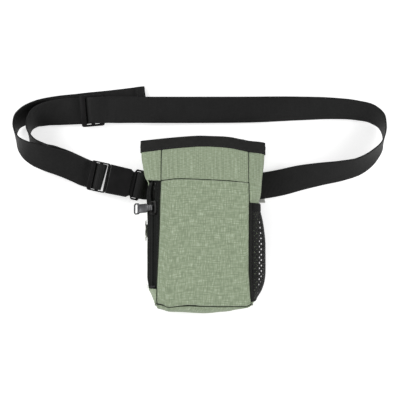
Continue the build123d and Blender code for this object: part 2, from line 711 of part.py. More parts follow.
# --- eyelet in the left wall --------------------------------------------------------------------
eyelet_face_x = -body_half - eyelet_clear
barrel_length = eyelet_plate + 2 * eyelet_clear + cloth + eyelet_plate
eyelet_plane = Plane(origin=(eyelet_face_x - eyelet_plate, eyelet_y, eyelet_z),
                     x_dir=(0, 1, 0), z_dir=(1, 0, 0))
with BuildPart() as eyelet_ring:
    with BuildSketch(eyelet_plane):
        Circle(eyelet_flange)
        Circle(eyelet_bore, mode=Mode.SUBTRACT)
    extrude(amount=eyelet_plate)
    with BuildSketch(eyelet_plane):
        Circle(eyelet_bore + eyelet_wall)
        Circle(eyelet_bore, mode=Mode.SUBTRACT)
    extrude(amount=barrel_length)
    rounded = eyelet_ring.edges().filter_by(GeomType.CIRCLE).group_by(Axis.X)[0]
    fillet(rounded.sort_by(SortBy.RADIUS)[-1], eyelet_round)
finish(eyelet_ring, "eyelet_ring")
with BuildPart() as eyelet_washer:
    with BuildSketch(eyelet_plane.offset(barrel_length - eyelet_plate)):
        Circle(eyelet_flange - washer_inset)
        Circle(eyelet_bore + eyelet_wall, mode=Mode.SUBTRACT)
    extrude(amount=eyelet_plate)
finish(eyelet_washer, "eyelet_washer")

# --- side-release buckle: its length runs along the plane's own x -------------------------------
buckle_along = bearing(buckle_turn)
buckle_plane = Plane(origin=(buckle_x, buckle_y, 0), x_dir=buckle_along, z_dir=(0, 0, 1))
frame_low = buckle_mid_z - frame_thickness / 2
slot_start = frame_bar
centre_start = slot_start + frame_slot
wedge_start = centre_start + centre_bar
block_start = wedge_start + wedge_slot
frame_end = block_start + frame_block
with BuildPart() as buckle_male:
    with BuildSketch(buckle_plane.offset(frame_low)):
        with Locations((frame_end / 2, 0)):
            RectangleRounded(frame_end, 2 * frame_half, frame_corner)
        with Locations((slot_start + (block_start - slot_start) / 2, 0)):
            Rectangle(block_start - slot_start, 2 * slot_half, mode=Mode.SUBTRACT)
    extrude(amount=frame_thickness)
    with BuildSketch(buckle_plane):
        with Locations((slot_start / 2, 0)):
            Rectangle(frame_bar, 2 * slot_half)
    extrude(amount=frame_low + frame_thickness - bar_thickness, mode=Mode.SUBTRACT)
    with BuildSketch(buckle_plane.offset(frame_low)):
        with Locations((centre_start + centre_bar / 2, 0)):
            Rectangle(centre_bar, 2 * slot_half)
    extrude(amount=bar_thickness)
    with BuildSketch(buckle_plane.offset(buckle_mid_z - prong_thickness / 2)):
        with Locations((frame_end + prong_reach / 2, 0)):
            Rectangle(prong_reach, 2 * prong_half)
    extrude(amount=prong_thickness)
    top_lines = buckle_male.faces().sort_by(Axis.Z)[-1].edges().filter_by(GeomType.LINE)
    chamfer(top_lines.group_by(SortBy.LENGTH)[-1], frame_bevel)
finish(buckle_male, "buckle_male")

arm_start = frame_end + arm_gap
arm_end = arm_start + arm_reach
arm_inner = arm_root - arm_width / 2
arm_outer = arm_root + arm_width / 2
catch_x = arm_start + catch_start
catch_inner = cavity_half - arm_gap - arm_taper
catch_outer = cavity_half - arm_gap + catch_depth
for side, name in ((1, "upper"), (-1, "lower")):
    with BuildPart() as buckle_arm:
        with BuildSketch(buckle_plane.offset(buckle_mid_z - arm_thickness / 2)):
            with BuildLine():
                Polyline((arm_start, side * arm_inner), (arm_end - arm_tip, side * (arm_inner + arm_taper)),
                         (arm_end, side * arm_root), (arm_end - arm_taper, side * arm_outer),
                         (catch_x + catch_flat, side * catch_outer), (catch_x, side * catch_outer),
                         (catch_x, side * catch_inner), (arm_start, side * arm_outer), close=True)
            make_face()
        extrude(amount=arm_thickness)
    finish(buckle_arm, f"buckle_arm_{name}")

shell_start = frame_end + arm_gap
shell_end = shell_start + shell_length
shell_low = buckle_mid_z - shell_thickness / 2
shoulder_x = shell_end - shell_shoulder
shoulder_half = shell_half - shell_taper
window_start = catch_x - arm_gap
rear_start = shell_end - rear_overlap
rear_end = shell_end + rear_length
flare_start = shell_end + rear_flare_start
flare_end = shell_end + rear_flare_end
rear_half_outline = [(rear_start, rear_neck_half), (flare_start, rear_neck_half), (flare_end, rear_half),
                     (rear_end - rear_corner_run, rear_half), (rear_end, rear_half - rear_corner)]
with BuildPart() as buckle_female:
    with BuildSketch(buckle_plane.offset(shell_low)):
        with BuildLine():
            Polyline((shell_start, -shell_half), (shoulder_x, -shoulder_half), (shell_end, -rear_neck_half),
                     (shell_end, rear_neck_half), (shoulder_x, shoulder_half), (shell_start, shell_half),
                     close=True)
        make_face()
    extrude(amount=shell_thickness)
    fillet(buckle_female.faces().sort_by(Axis.Z)[-1].edges(), shell_round)
    fillet(buckle_female.faces().sort_by(Axis.Z)[0].edges(), shell_round)
    with BuildSketch(buckle_plane.offset(shell_low + shell_wall)):
        with Locations((shell_start + cavity_length / 2, 0)):
            Rectangle(cavity_length, 2 * cavity_half)
    extrude(amount=shell_thickness - 2 * shell_wall, mode=Mode.SUBTRACT)
    with BuildSketch(buckle_plane.offset(buckle_mid_z - arm_thickness / 2 - arm_gap)):
        with Locations((window_start + window_length / 2, 0)):
            Rectangle(window_length, 2 * rear_half)
    extrude(amount=arm_thickness + 2 * arm_gap, mode=Mode.SUBTRACT)
    with BuildSketch(buckle_plane.offset(shell_low + shell_wall)):
        with BuildLine():
            Polyline(*[(x, -half) for x, half in rear_half_outline], *reversed(rear_half_outline), close=True)
        make_face()
        with Locations((rear_end - rear_bar - rear_slot / 2, 0)):
            Rectangle(rear_slot, 2 * slot_half, mode=Mode.SUBTRACT)
    extrude(amount=rear_thickness)
    with BuildSketch(buckle_plane):
        with Locations((rear_end - rear_bar / 2 + rear_cut_room, 0)):
            Rectangle(rear_bar + 2 * rear_cut_room, 2 * slot_half)
    extrude(amount=shell_thickness, mode=Mode.SUBTRACT)
    with BuildSketch(buckle_plane.offset(rear_bar_low)):
        with Locations((rear_end - rear_bar / 2, 0)):
            Rectangle(rear_bar, 2 * slot_half)
    extrude(amount=bar_thickness)
finish(buckle_female, "buckle_female")

# --- webbing ------------------------------------------------------------------------------------
with BuildPart() as female_tab:
    add(ribbon([(Vector(x, y, z), bearing(turn)) for x, y, z, turn in tab_route], webbing_width, webbing))
finish(female_tab, "female_tab")
with BuildPart() as belt_webbing:
    add(ribbon([(Vector(x, y, z), bearing(turn, lean)) for x, y, z, turn, lean in belt_route],
               webbing_width, webbing))
finish(belt_webbing, "belt_webbing")

tail_end = Vector(*belt_route[-1][:3])
tail_upper = bearing(belt_route[-1][3])
tail_along = Vector(tail_upper.Y, -tail_upper.X, 0)
hem_plane = Plane(origin=tail_end + Vector(0, 0, webbing / 2 + hem_gap) - tail_along * hem_length / 2,
                  x_dir=tail_along, z_dir=(0, 0, 1))
with BuildPart() as tail_hem:
    with BuildSketch(hem_plane):
        Rectangle(hem_length, webbing_width)
    extrude(amount=webbing)
finish(tail_hem, "tail_hem")

# --- tri-glide ----------------------------------------------------------------------------------
glide_plane = Plane(origin=(glide_x, glide_y, glide_low_z), x_dir=bearing(glide_turn), z_dir=(0, 0, 1))
slot_offset = (glide_bar + glide_slot) / 2
with BuildPart() as tri_glide:
    with BuildSketch(glide_plane):
        RectangleRounded(glide_length, 2 * glide_half, glide_corner)
        with Locations((-slot_offset, 0), (slot_offset, 0)):
            Rectangle(glide_slot, 2 * slot_half, mode=Mode.SUBTRACT)
    extrude(amount=glide_thickness)
finish(tri_glide, "tri_glide")

os.makedirs("parts", exist_ok=True)
for part in parts:
    export_step(part, f"parts/{part.label}.step")
    print(f"{part.label}: {part.volume:.1f} mm3, {len(part.solids())} solid(s)")
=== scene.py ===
# %% [markdown]
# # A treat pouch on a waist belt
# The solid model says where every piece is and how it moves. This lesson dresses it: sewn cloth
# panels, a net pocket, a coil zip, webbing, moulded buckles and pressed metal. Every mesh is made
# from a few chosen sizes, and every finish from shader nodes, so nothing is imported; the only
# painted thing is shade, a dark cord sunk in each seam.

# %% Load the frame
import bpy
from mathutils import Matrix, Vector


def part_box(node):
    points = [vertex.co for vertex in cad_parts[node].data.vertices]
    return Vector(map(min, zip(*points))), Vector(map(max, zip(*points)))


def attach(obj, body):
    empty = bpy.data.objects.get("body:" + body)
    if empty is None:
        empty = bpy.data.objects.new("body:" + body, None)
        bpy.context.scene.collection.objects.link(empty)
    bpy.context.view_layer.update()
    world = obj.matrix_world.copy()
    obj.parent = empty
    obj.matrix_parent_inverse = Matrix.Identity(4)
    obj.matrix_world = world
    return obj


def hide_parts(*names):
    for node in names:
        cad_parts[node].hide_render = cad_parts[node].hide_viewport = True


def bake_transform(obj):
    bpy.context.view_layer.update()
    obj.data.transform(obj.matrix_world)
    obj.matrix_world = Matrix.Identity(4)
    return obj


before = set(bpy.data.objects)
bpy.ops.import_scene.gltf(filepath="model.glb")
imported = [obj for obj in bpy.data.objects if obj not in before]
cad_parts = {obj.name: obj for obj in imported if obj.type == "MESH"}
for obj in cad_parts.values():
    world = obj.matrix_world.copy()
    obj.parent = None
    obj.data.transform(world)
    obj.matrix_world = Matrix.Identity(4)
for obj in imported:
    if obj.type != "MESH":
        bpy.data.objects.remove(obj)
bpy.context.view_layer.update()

# %% [markdown]
# ## Numbers and smooth lines
# Cloth has no straight sections, so the shapes here are smooth functions through a few chosen
# places. `curve` makes such a function of one value, and `through` does the same for rows of points.
# Sizes are written in millimetres, as on a pattern sheet, and turned to metres when a mesh is made.

# %% Units, curves and key points
from math import cos, pi, radians, sin, sqrt

import bmesh
import bpy
import numpy as np
from mathutils import Vector

MM = 0.001


def slopes(values, place):
    """A slope at each of a row of values, level at each high and low, so no line passes its points."""
    rise = np.diff(values, axis=-2) / np.diff(place)[:, None]
    before, after = rise[..., :-1, :], rise[..., 1:, :]
    same_way = before * after > 0
    inner = np.where(same_way, 2 * before * after / np.where(same_way, before + after, 1), 0)
    return np.concatenate([rise[..., :1, :], inner, rise[..., -1:, :]], -2)


def curve(*pairs):
    """A smooth function through chosen (place, value) pairs."""
    place, value = (np.array(column, float) for column in zip(*pairs))
    slope = slopes(value[:, None], place)[:, 0]

    def at(x):
        x = np.clip(np.asarray(x, float), place[0], place[-1])
        k = np.clip(np.searchsorted(place, x, side="right") - 1, 0, len(place) - 2)
        gap = place[k + 1] - place[k]
        t = (x - place[k]) / gap
        start = value[k] * (1 + 2 * t) + slope[k] * gap * t
        end = value[k + 1] * (3 - 2 * t) + slope[k + 1] * gap * (t - 1)
        return start * (1 - t) ** 2 + end * t**2

    return at


def through(keys, shares, round_turns=False):
    """Points on smooth lines through rows of key points, at these shares of each line's length."""
    keys, shares = np.asarray(keys, float), np.asarray(shares, float)
    gaps = np.linalg.norm(np.diff(keys[..., :3], axis=-2), axis=-1)
    place = np.concatenate([[0], np.cumsum(gaps.reshape(-1, gaps.shape[-1]).mean(0))])
    place /= place[-1]
    slope = np.gradient(keys, place, axis=-2) if round_turns else slopes(keys, place)
    k = np.clip(np.searchsorted(place, shares, side="right") - 1, 0, len(place) - 2)
    gap = (place[k + 1] - place[k])[:, None]
    t = (shares - place[k])[:, None] / gap
    start = keys[..., k, :] * (1 + 2 * t) + slope[..., k, :] * gap * t
    end = keys[..., k + 1, :] * (3 - 2 * t) + slope[..., k + 1, :] * gap * (t - 1)
    return start * (1 - t) ** 2 + end * t**2


def run(points, axis):
    """How far each point of a grid is from the first one of its line."""
    step = np.linalg.norm(np.diff(points, axis=axis), axis=-1)
    start = np.zeros_like(np.take(step, [0], axis))
    return np.concatenate([start, np.cumsum(step, axis)], axis)


def outward(points):
    """The direction that each point of a grid faces."""
    normal = np.cross(np.gradient(points, axis=1), np.gradient(points, axis=0))
    return normal / np.linalg.norm(normal, axis=-1, keepdims=True)


def shares(length, step, fine_start=True, fine_end=True):
    """Shares of a length for a grid's lines, close together where it is drawn into a seam."""
    fine = np.array([0, 0.1, 0.3, 0.6, 1.0, 1.5, 2.1, 3.0])
    low = fine if fine_start else np.array([0.0])
    high = length - (fine[::-1] if fine_end else np.array([0.0]))
    count = max(int((high[0] - low[-1]) / step), 2)
    middle = np.linspace(low[-1], high[0], count + 1)[1:-1]
    return np.concatenate([low, middle, high]) / length


def between(low, high, share):
    return low + (high - low) * share


def xyz(x, y, z):
    """Points from three coordinates, each of them a number, a row, a column or a grid."""
    return np.stack(np.broadcast_arrays(x, y, z), -1)


def box_mm(node):
    low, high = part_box(node)
    return np.array(low) / MM, np.array(high) / MM


loop_low, loop_high = box_mm("belt_webbing")
print("helpers ready; the belt's loop is", round(loop_high[0] - loop_low[0]), "mm wide")

# %% [markdown]
# ## Sewn cloth
# A sewn panel is pulled down at its seams, puckers a little beside the thread and is never quite
# flat between. A cloth simulation could find that shape, but the seams would be lost in its coarse
# mesh, so the drop, the puckers and the slow waves are added to the grid along its own normals.

# %% Seams, puckers and slow waves
SEAM_REACH = 1.6
SEAM_DEPTH = 1.5
SEAM_GAP = 0.3
PUCKER = 0.16
PUCKER_LENGTH = 7.0
PUCKER_REACH = 3.5
WAVES = 6


def seam_drop(distance, depth):
    """How far cloth is drawn in near a seam: a quarter round down to the thread."""
    near = np.clip(1 - distance / SEAM_REACH, 0, 1)
    return depth * (1 - np.sqrt(1 - near**2))


def slow_waves(a, b, length, seed):
    """Gentle unevenness: a few crossing waves of about one length."""
    draw = np.random.default_rng(seed)
    total = 0
    for _ in range(WAVES):
        turn = draw.uniform(0, 2 * pi)
        size = length * draw.uniform(0.7, 1.6)
        phase = draw.uniform(0, 2 * pi)
        total = total + np.sin((a * cos(turn) + b * sin(turn)) * 2 * pi / size + phase)
    return total / WAVES


def sewn(points, seams, seed, waves=0.35, wave_length=34, depth=SEAM_DEPTH, plumb=False):
    """A grid of cloth drawn into the seams on these sides: l, r, b or t, each with a weight.

    The draw goes against the cloth's own normal, or with plumb straight down where it faces up."""
    along, up = run(points, 1), run(points, 0)
    sides = {"l": (along, up), "r": (along[:, -1:] - along, up),
             "b": (up, along), "t": (up[-1:] - up, along)}
    draw = 0
    for side, weight in seams.items():
        distance, beside = sides[side]
        pucker = PUCKER * np.sin(beside * 2 * pi / PUCKER_LENGTH + seed + 2 * np.sin(beside / 11))
        fading = pucker * np.exp(-distance / PUCKER_REACH)
        draw = draw + weight * (seam_drop(distance, depth) - fading)
    normal = outward(points)
    upright = np.clip(3 * normal[..., 2:], 0, 1) * plumb
    way = normal * (1 - upright) + np.array([0, 0, 1]) * upright
    height = waves * slow_waves(along, up, wave_length, seed)
    return points + normal * height[..., None] - way * np.broadcast_to(draw, height.shape)[..., None]


# %% [markdown]
# ## Meshes
# Every piece is a closed mesh with cut edges, because cloth has a thickness that shows at a rim.
# `cloth` gives a grid an inner face and a rim, and `tube` closes a row of rings. Both keep the
# length and width of the cloth as UVs in metres, so a weave has the same size on every piece.

# %% Closed sheets and tubes
def grid_faces(rows, cols, first=0):
    corner = first + np.arange((rows - 1) * cols).reshape(rows - 1, cols)[:, :-1]
    return np.stack([corner, corner + 1, corner + cols + 1, corner + cols], -1).reshape(-1, 4)


def linked(name, data):
    """A new object, placed in the scene."""
    made = bpy.data.objects.new(name, data)
    bpy.context.scene.collection.objects.link(made)
    return made


def apply_modifiers(piece):
    """Keeps what a piece's modifiers make as its own mesh."""
    bpy.context.view_layer.update()
    shaped = piece.evaluated_get(bpy.context.evaluated_depsgraph_get())
    made = bpy.data.meshes.new_from_object(shaped)
    piece.modifiers.clear()
    piece.data = made


def new_piece(name, points, faces, uvs, materials, face_material=None, sharp=40):
    """An object from points in millimetres, with outward faces, UVs in metres and smooth shading."""
    mesh = bpy.data.meshes.new(name)
    mesh.from_pydata((np.asarray(points) * MM).tolist(), [], [list(map(int, face)) for face in faces])
    corner_point = np.empty(len(mesh.loops), int)
    mesh.loops.foreach_get("vertex_index", corner_point)
    layer = mesh.uv_layers.new(name="Cloth")
    layer.data.foreach_set("uv", (np.asarray(uvs)[corner_point] * MM).ravel())
    for material in materials:
        mesh.materials.append(material)
    if face_material is not None:
        mesh.polygons.foreach_set("material_index", face_material)
    work = bmesh.new()
    work.from_mesh(mesh)
    bmesh.ops.recalc_face_normals(work, faces=work.faces)
    work.to_mesh(mesh)
    work.free()
    mesh.shade_smooth()
    mesh.set_sharp_from_angle(angle=radians(sharp))
    return linked(name, mesh)


def cloth(name, points, thickness, outside, inside, under=None):
    """A sheet of cloth from a grid of its outer face."""
    rows, cols = points.shape[:2]
    count = rows * cols
    if under is None:
        under = points - outward(points) * thickness
    index = np.arange(count).reshape(rows, cols)
    rim = np.concatenate([index[0, :-1], index[:-1, -1], index[-1, :0:-1], index[:0:-1, 0]])
    after = np.roll(rim, -1)
    outer_faces, inner_faces = grid_faces(rows, cols), grid_faces(rows, cols, count)[:, ::-1]
    rim_faces = np.stack([rim, rim + count, after + count, after], -1)
    faces = np.concatenate([outer_faces, inner_faces, rim_faces])
    uv = np.stack([run(points, 1), run(points, 0)], -1).reshape(-1, 2)
    which = np.repeat([0, 1, 0], [len(outer_faces), len(inner_faces), len(rim_faces)]).astype(np.int32)
    both = np.concatenate([points.reshape(-1, 3), under.reshape(-1, 3)])
    return new_piece(name, both, faces, np.concatenate([uv, uv]), [outside, inside], which)


def tube(name, rings, material, sharp=40):
    """A closed bar from rings of points: a binding, a band or a strap."""
    rows, around = rings.shape[:2]
    closed = np.concatenate([rings, rings[:, :1]], 1)
    lengthwise = run(rings, 0).mean(1, keepdims=True).repeat(around, 1)
    uv = np.stack([run(closed, 1)[:, :-1], lengthwise], -1)
    index = np.arange(rows * around).reshape(rows, around)
    after = np.roll(index, -1, 1)
    faces = np.stack([index[:-1], after[:-1], after[1:], index[1:]], -1).reshape(-1, 4).tolist()
    faces += [index[0].tolist(), index[-1, ::-1].tolist()]
    return new_piece(name, rings.reshape(-1, 3), faces, uv.reshape(-1, 2), [material], sharp=sharp)


def wire(name, strands, radius, material):
    """Round threads or wires along rows of points in millimetres, as one mesh."""
    line = bpy.data.curves.new(name, "CURVE")
    line.dimensions, line.bevel_depth, line.bevel_resolution = "3D", radius * MM, 1
    line.use_fill_caps = True
    for strand in strands:
        spline = line.splines.new("POLY")
        spline.points.add(len(strand) - 1)
        for spot, place in zip(spline.points, strand):
            spot.co = (*(float(value) * MM for value in place), 1)
    holder = bpy.data.objects.new(name + "_line", line)
    mesh = bpy.data.meshes.new_from_object(holder)
    bpy.data.objects.remove(holder)
    bpy.data.curves.remove(line)
    mesh.name = name
    mesh.materials.clear()
    mesh.materials.append(material)
    mesh.shade_smooth()
    return linked(name, mesh)


def stitches(name, line, normal, material, length=2.2, gap=1.0, radius=0.2, lift=0.0):
    """A row of separate stitches along a line on the cloth, each sunk at its two ends."""
    line, normal = np.asarray(line, float), np.asarray(normal, float)
    place = run(line[None], 1)[0]
    height = np.array([-1.2, 0.2, 0.55, 0.2, -1.2]) * radius + lift
    strands = []
    for start in np.arange(gap, place[-1] - length, length + gap):
        at = start + length * np.array([0, 0.15, 0.5, 0.85, 1])
        spots = np.stack([np.interp(at, place, line[:, k]) for k in range(3)], -1)
        strands.append(spots + normal * height[:, None])
    return wire(name, strands, radius, material)


def dress(piece, body="pouch", stands_for=(), bends=None):
    """Hangs a piece on the body that it rides on, or fixes its place where it would bend, and hides the
    solids that it stands for.
    """
    if bends:
        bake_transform(piece)
    else:
        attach(piece, body)
    if stands_for:
        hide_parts(*stands_for)
    print(f"{piece.name}: {len(piece.data.polygons)} faces on {bends[:2] if bends else body}")
    return piece


def cut_flat(points, held):
    """Prints the size of the flat piece that a sheet of cloth is sewn from, and how it is held."""
    width, length = run(points, 1)[:, -1].mean() * MM, run(points, 0)[-1].mean() * MM
    print(f"  cut {1000 * width:.0f} by {1000 * length:.0f} mm, {held}")


# %% [markdown]
# ## Shader groups
# An effect that several finishes share is a node group: the small over-and-under of a weave, the
# streaks of a heathered yarn, the ribs of a tape, slow mottling, and bare edges where paint wears.
# Each puts out a value that changes over the surface, and each material sets its own sizes.

# %% Node helpers
def feed(tree, socket, value):
    if isinstance(value, bpy.types.NodeSocket):
        tree.links.new(value, socket)
    else:
        socket.default_value = value


def calc(tree, operation, *values):
    made = tree.nodes.new("ShaderNodeMath")
    made.operation = operation
    for socket, value in zip(made.inputs, values):
        feed(tree, socket, value)
    return made.outputs[0]


def mixed(tree, share, first, second):
    made = tree.nodes.new("ShaderNodeMix")
    made.data_type = "RGBA"
    for socket, value in zip((made.inputs[0], made.inputs[6], made.inputs[7]), (share, first, second)):
        feed(tree, socket, value)
    return made.outputs[2]


def spread(tree, value, low, high, to_low=0.0, to_high=1.0):
    made = tree.nodes.new("ShaderNodeMapRange")
    for socket, number in zip(made.inputs, (value, low, high, to_low, to_high)):
        feed(tree, socket, number)
    return made.outputs[0]


def noise(tree, vector, scale, detail=2.0):
    made = tree.nodes.new("ShaderNodeTexNoise")
    feed(tree, made.inputs["Vector"], vector)
    feed(tree, made.inputs["Scale"], scale)
    made.inputs["Detail"].default_value = detail
    return made.outputs["Fac"]


def axes(tree, vector):
    made = tree.nodes.new("ShaderNodeSeparateXYZ")
    feed(tree, made.inputs[0], vector)
    return made.outputs[0], made.outputs[1]


def joined(tree, x, y):
    made = tree.nodes.new("ShaderNodeCombineXYZ")
    feed(tree, made.inputs[0], x)
    feed(tree, made.inputs[1], y)
    return made.outputs[0]


def new_group(name, inputs, outputs):
    """A node group with its named sockets; numbers in metres come in as floats."""
    tree = bpy.data.node_groups.new(name, "ShaderNodeTree")
    for label, default in inputs.items():
        kind = "NodeSocketVector" if default is None else "NodeSocketFloat"
        socket = tree.interface.new_socket(label, in_out="INPUT", socket_type=kind)
        if default is not None:
            socket.default_value = default
    for label in outputs:
        tree.interface.new_socket(label, in_out="OUTPUT", socket_type="NodeSocketFloat")
    return tree, tree.nodes.new("NodeGroupInput").outputs, tree.nodes.new("NodeGroupOutput").inputs


def placed(tree, group, **values):
    made = tree.nodes.new("ShaderNodeGroup")
    made.node_tree = group
    for label, value in values.items():
        feed(tree, made.inputs[label.replace("_", " ")], value)
    return made.outputs


# %% [markdown]
# A plain weave is two sets of threads that cross: the product of two sine waves gives its
# over-and-under. Heathered cloth is woven from yarns of several shades, so its colour runs in short
# streaks along both sets of threads. A ribbed tape has one wave, across or along its length.

# %% Weave, heather, rib, mottle and wear groups
def plain_weave():
    tree, given, gives = new_group("Plain weave", {"Cloth": None, "Pitch": 0.0006}, ["Height"])
    across, along = axes(tree, given["Cloth"])
    wave_number = calc(tree, "DIVIDE", 2 * pi, given["Pitch"])
    over = calc(tree, "SINE", calc(tree, "MULTIPLY", across, wave_number))
    under = calc(tree, "SINE", calc(tree, "MULTIPLY", along, wave_number))
    crossed = calc(tree, "MULTIPLY", over, under)
    feed(tree, gives["Height"], calc(tree, "MULTIPLY_ADD", crossed, 0.5, 0.5))
    return tree


def heathered_yarn():
    sizes = {"Cloth": None, "Thread": 0.001, "Warp run": 0.008, "Weft run": 0.008}
    tree, given, gives = new_group("Heathered yarn", sizes, ["Warp", "Weft", "Tone"])
    across, along = axes(tree, given["Cloth"])
    fine_x, fine_y = (calc(tree, "DIVIDE", value, given["Thread"]) for value in (across, along))
    long_x = calc(tree, "DIVIDE", across, given["Weft run"])
    long_y = calc(tree, "DIVIDE", along, given["Warp run"])
    warp = noise(tree, joined(tree, fine_x, long_y), 1.0)
    weft = noise(tree, joined(tree, long_x, fine_y), 1.0)
    feed(tree, gives["Warp"], spread(tree, warp, 0.36, 0.64))
    feed(tree, gives["Weft"], spread(tree, weft, 0.36, 0.64))
    both = calc(tree, "MULTIPLY", calc(tree, "ADD", warp, weft), 0.5)
    feed(tree, gives["Tone"], spread(tree, both, 0.38, 0.62))
    return tree


def ribbed_tape():
    sizes = {"Cloth": None, "Rib": 0.001, "Cross": 0.004}
    tree, given, gives = new_group("Ribbed tape", sizes, ["Rib", "Height"])
    across, along = axes(tree, given["Cloth"])
    turns = (calc(tree, "DIVIDE", calc(tree, "MULTIPLY", place, 2 * pi), given[size])
             for place, size in ((along, "Rib"), (across, "Cross")))
    rib, cross = (calc(tree, "SINE", turn) for turn in turns)
    feed(tree, gives["Rib"], calc(tree, "MULTIPLY_ADD", rib, 0.5, 0.5))
    crossed = calc(tree, "MULTIPLY_ADD", cross, 0.15, rib)
    feed(tree, gives["Height"], calc(tree, "MULTIPLY_ADD", crossed, 0.4, 0.5))
    return tree


def mottle():
    tree, given, gives = new_group("Mottle", {"Place": None, "Size": 0.01}, ["Value"])
    mottled = noise(tree, given["Place"], calc(tree, "DIVIDE", 1.0, given["Size"]), 3.0)
    feed(tree, gives["Value"], spread(tree, mottled, 0.3, 0.7))
    return tree


def worn_edges():
    sizes = {"Place": None, "Size": 0.003, "Start": 0.52, "End": 0.6}
    tree, given, gives = new_group("Worn edges", sizes, ["Mask"])
    sharpness = tree.nodes.new("ShaderNodeNewGeometry").outputs["Pointiness"]
    chips = noise(tree, given["Place"], calc(tree, "DIVIDE", 1.0, given["Size"]), 4.0)
    exposed = calc(tree, "MULTIPLY_ADD", calc(tree, "SUBTRACT", chips, 0.5), 0.12, sharpness)
    feed(tree, gives["Mask"], spread(tree, exposed, given["Start"], given["End"]))
    return tree


weave_group, heather_group, rib_group = plain_weave(), heathered_yarn(), ribbed_tape()
mottle_group, wear_group = mottle(), worn_edges()
print("groups:", [group.name for group in bpy.data.node_groups])

# %% [markdown]
# ## Finishes
# The cloth is a heathered sage polyester: matte, with a little sheen at a glancing angle and pale
# and dark streaks in both thread directions. Everything that carries load is black, but each black
# differs: ribbed binding is dull, nylon webbing has a soft shine and moulded acetal a satin one.

# %% Colours and material helpers
def paint(red, green, blue):
    """A colour as seen, in parts of 255, turned to the linear light that shaders use."""
    seen = (red / 255, green / 255, blue / 255)
    return (*(c / 12.92 if c <= 0.04045 else ((c + 0.055) / 1.055) ** 2.4 for c in seen), 1.0)


def brighter(colour, by):
    return (*(by * c for c in colour[:3]), 1.0)


def new_material(name, settings):
    made = bpy.data.materials.new(name)
    made.use_nodes = True
    shader = made.node_tree.nodes["Principled BSDF"]
    for label, value in settings.items():
        shader.inputs[label].default_value = value
    return made, made.node_tree, shader


def bump(tree, shader, height, depth):
    """Lets a height between 0 and 1 tilt the light, with its full depth in metres."""
    made = tree.nodes.new("ShaderNodeBump")
    made.inputs["Distance"].default_value = depth
    feed(tree, made.inputs["Height"], height)
    feed(tree, shader.inputs["Normal"], made.outputs["Normal"])


def cloth_place(tree):
    """Where a point is on the flat cloth."""
    return tree.nodes.new("ShaderNodeUVMap").outputs["UV"]


def solid_place(tree):
    """Where a point is in a solid's own frame."""
    return tree.nodes.new("ShaderNodeTexCoord").outputs["Object"]


def gloss(rough, shine=0.5):
    """Shader settings of a hard surface."""
    return {"Roughness": rough, "Specular IOR Level": shine}


def dull(rough, shine, sheen=0.0, sheen_rough=0.5):
    """Shader settings of cloth and tape, with some sheen at a glancing angle."""
    return gloss(rough, shine) | {"Sheen Weight": sheen, "Sheen Roughness": sheen_rough}


def heathered(name, shades, thread, runs, pitch, depth):
    """Woven cloth of mixed yarns, with the lengths that one shade runs on in warp and weft."""
    dark, middle, light = shades
    made, tree, shader = new_material(name, dull(0.9, 0.2, 0.3))
    place = cloth_place(tree)
    yarn = placed(tree, heather_group, Cloth=place, Thread=thread, Warp_run=runs[0], Weft_run=runs[1])
    weave = placed(tree, weave_group, Cloth=place, Pitch=pitch)
    broad = placed(tree, mottle_group, Place=place, Size=0.02)
    shade = mixed(tree, yarn["Tone"], dark, middle)
    pale_warp, pale_weft = calc(tree, "POWER", yarn["Warp"], 3.0), calc(tree, "POWER", yarn["Weft"], 2.0)
    pale = calc(tree, "MULTIPLY", pale_warp, pale_weft)
    shade = mixed(tree, pale, shade, light)
    deep = calc(tree, "MULTIPLY", broad["Value"], 0.10)
    feed(tree, shader.inputs["Base Color"], mixed(tree, deep, shade, dark))
    height = calc(tree, "MULTIPLY_ADD", yarn["Tone"], 0.6, weave["Height"])
    bump(tree, shader, height, depth)
    return made


def ribbed(name, low, high, settings, rib, cross, depth):
    """A narrow woven tape with ribs across it."""
    made, tree, shader = new_material(name, settings)
    place = cloth_place(tree)
    ribs = placed(tree, rib_group, Cloth=place, Rib=rib, Cross=cross)
    yarn = placed(tree, heather_group, Cloth=place, Thread=0.0008, Warp_run=0.006, Weft_run=0.006)
    slow = placed(tree, mottle_group, Place=place, Size=0.018)["Value"]
    share = calc(tree, "MULTIPLY_ADD", ribs["Rib"], 0.4, calc(tree, "MULTIPLY", yarn["Tone"], 0.35))
    share = calc(tree, "MULTIPLY_ADD", slow, 0.35, share)
    feed(tree, shader.inputs["Base Color"], mixed(tree, share, low, high))
    bump(tree, shader, calc(tree, "MULTIPLY_ADD", yarn["Tone"], 0.35, ribs["Height"]), depth)
    return made


def moulded(name, colour, settings, grain, depth):
    """Moulded or cast stuff with a fine grain and slow changes in gloss."""
    made, tree, shader = new_material(name, settings)
    place = solid_place(tree)
    slow = placed(tree, mottle_group, Place=place, Size=0.006)
    fine = placed(tree, mottle_group, Place=place, Size=grain)
    rough = settings["Roughness"]
    feed(tree, shader.inputs["Roughness"], spread(tree, slow["Value"], 0.0, 1.0, rough - 0.08, rough + 0.1))
    feed(tree, shader.inputs["Base Color"], mixed(tree, slow["Value"], colour, brighter(colour, 1.25)))
    bump(tree, shader, fine["Value"], depth)
    return made, tree, shader, place


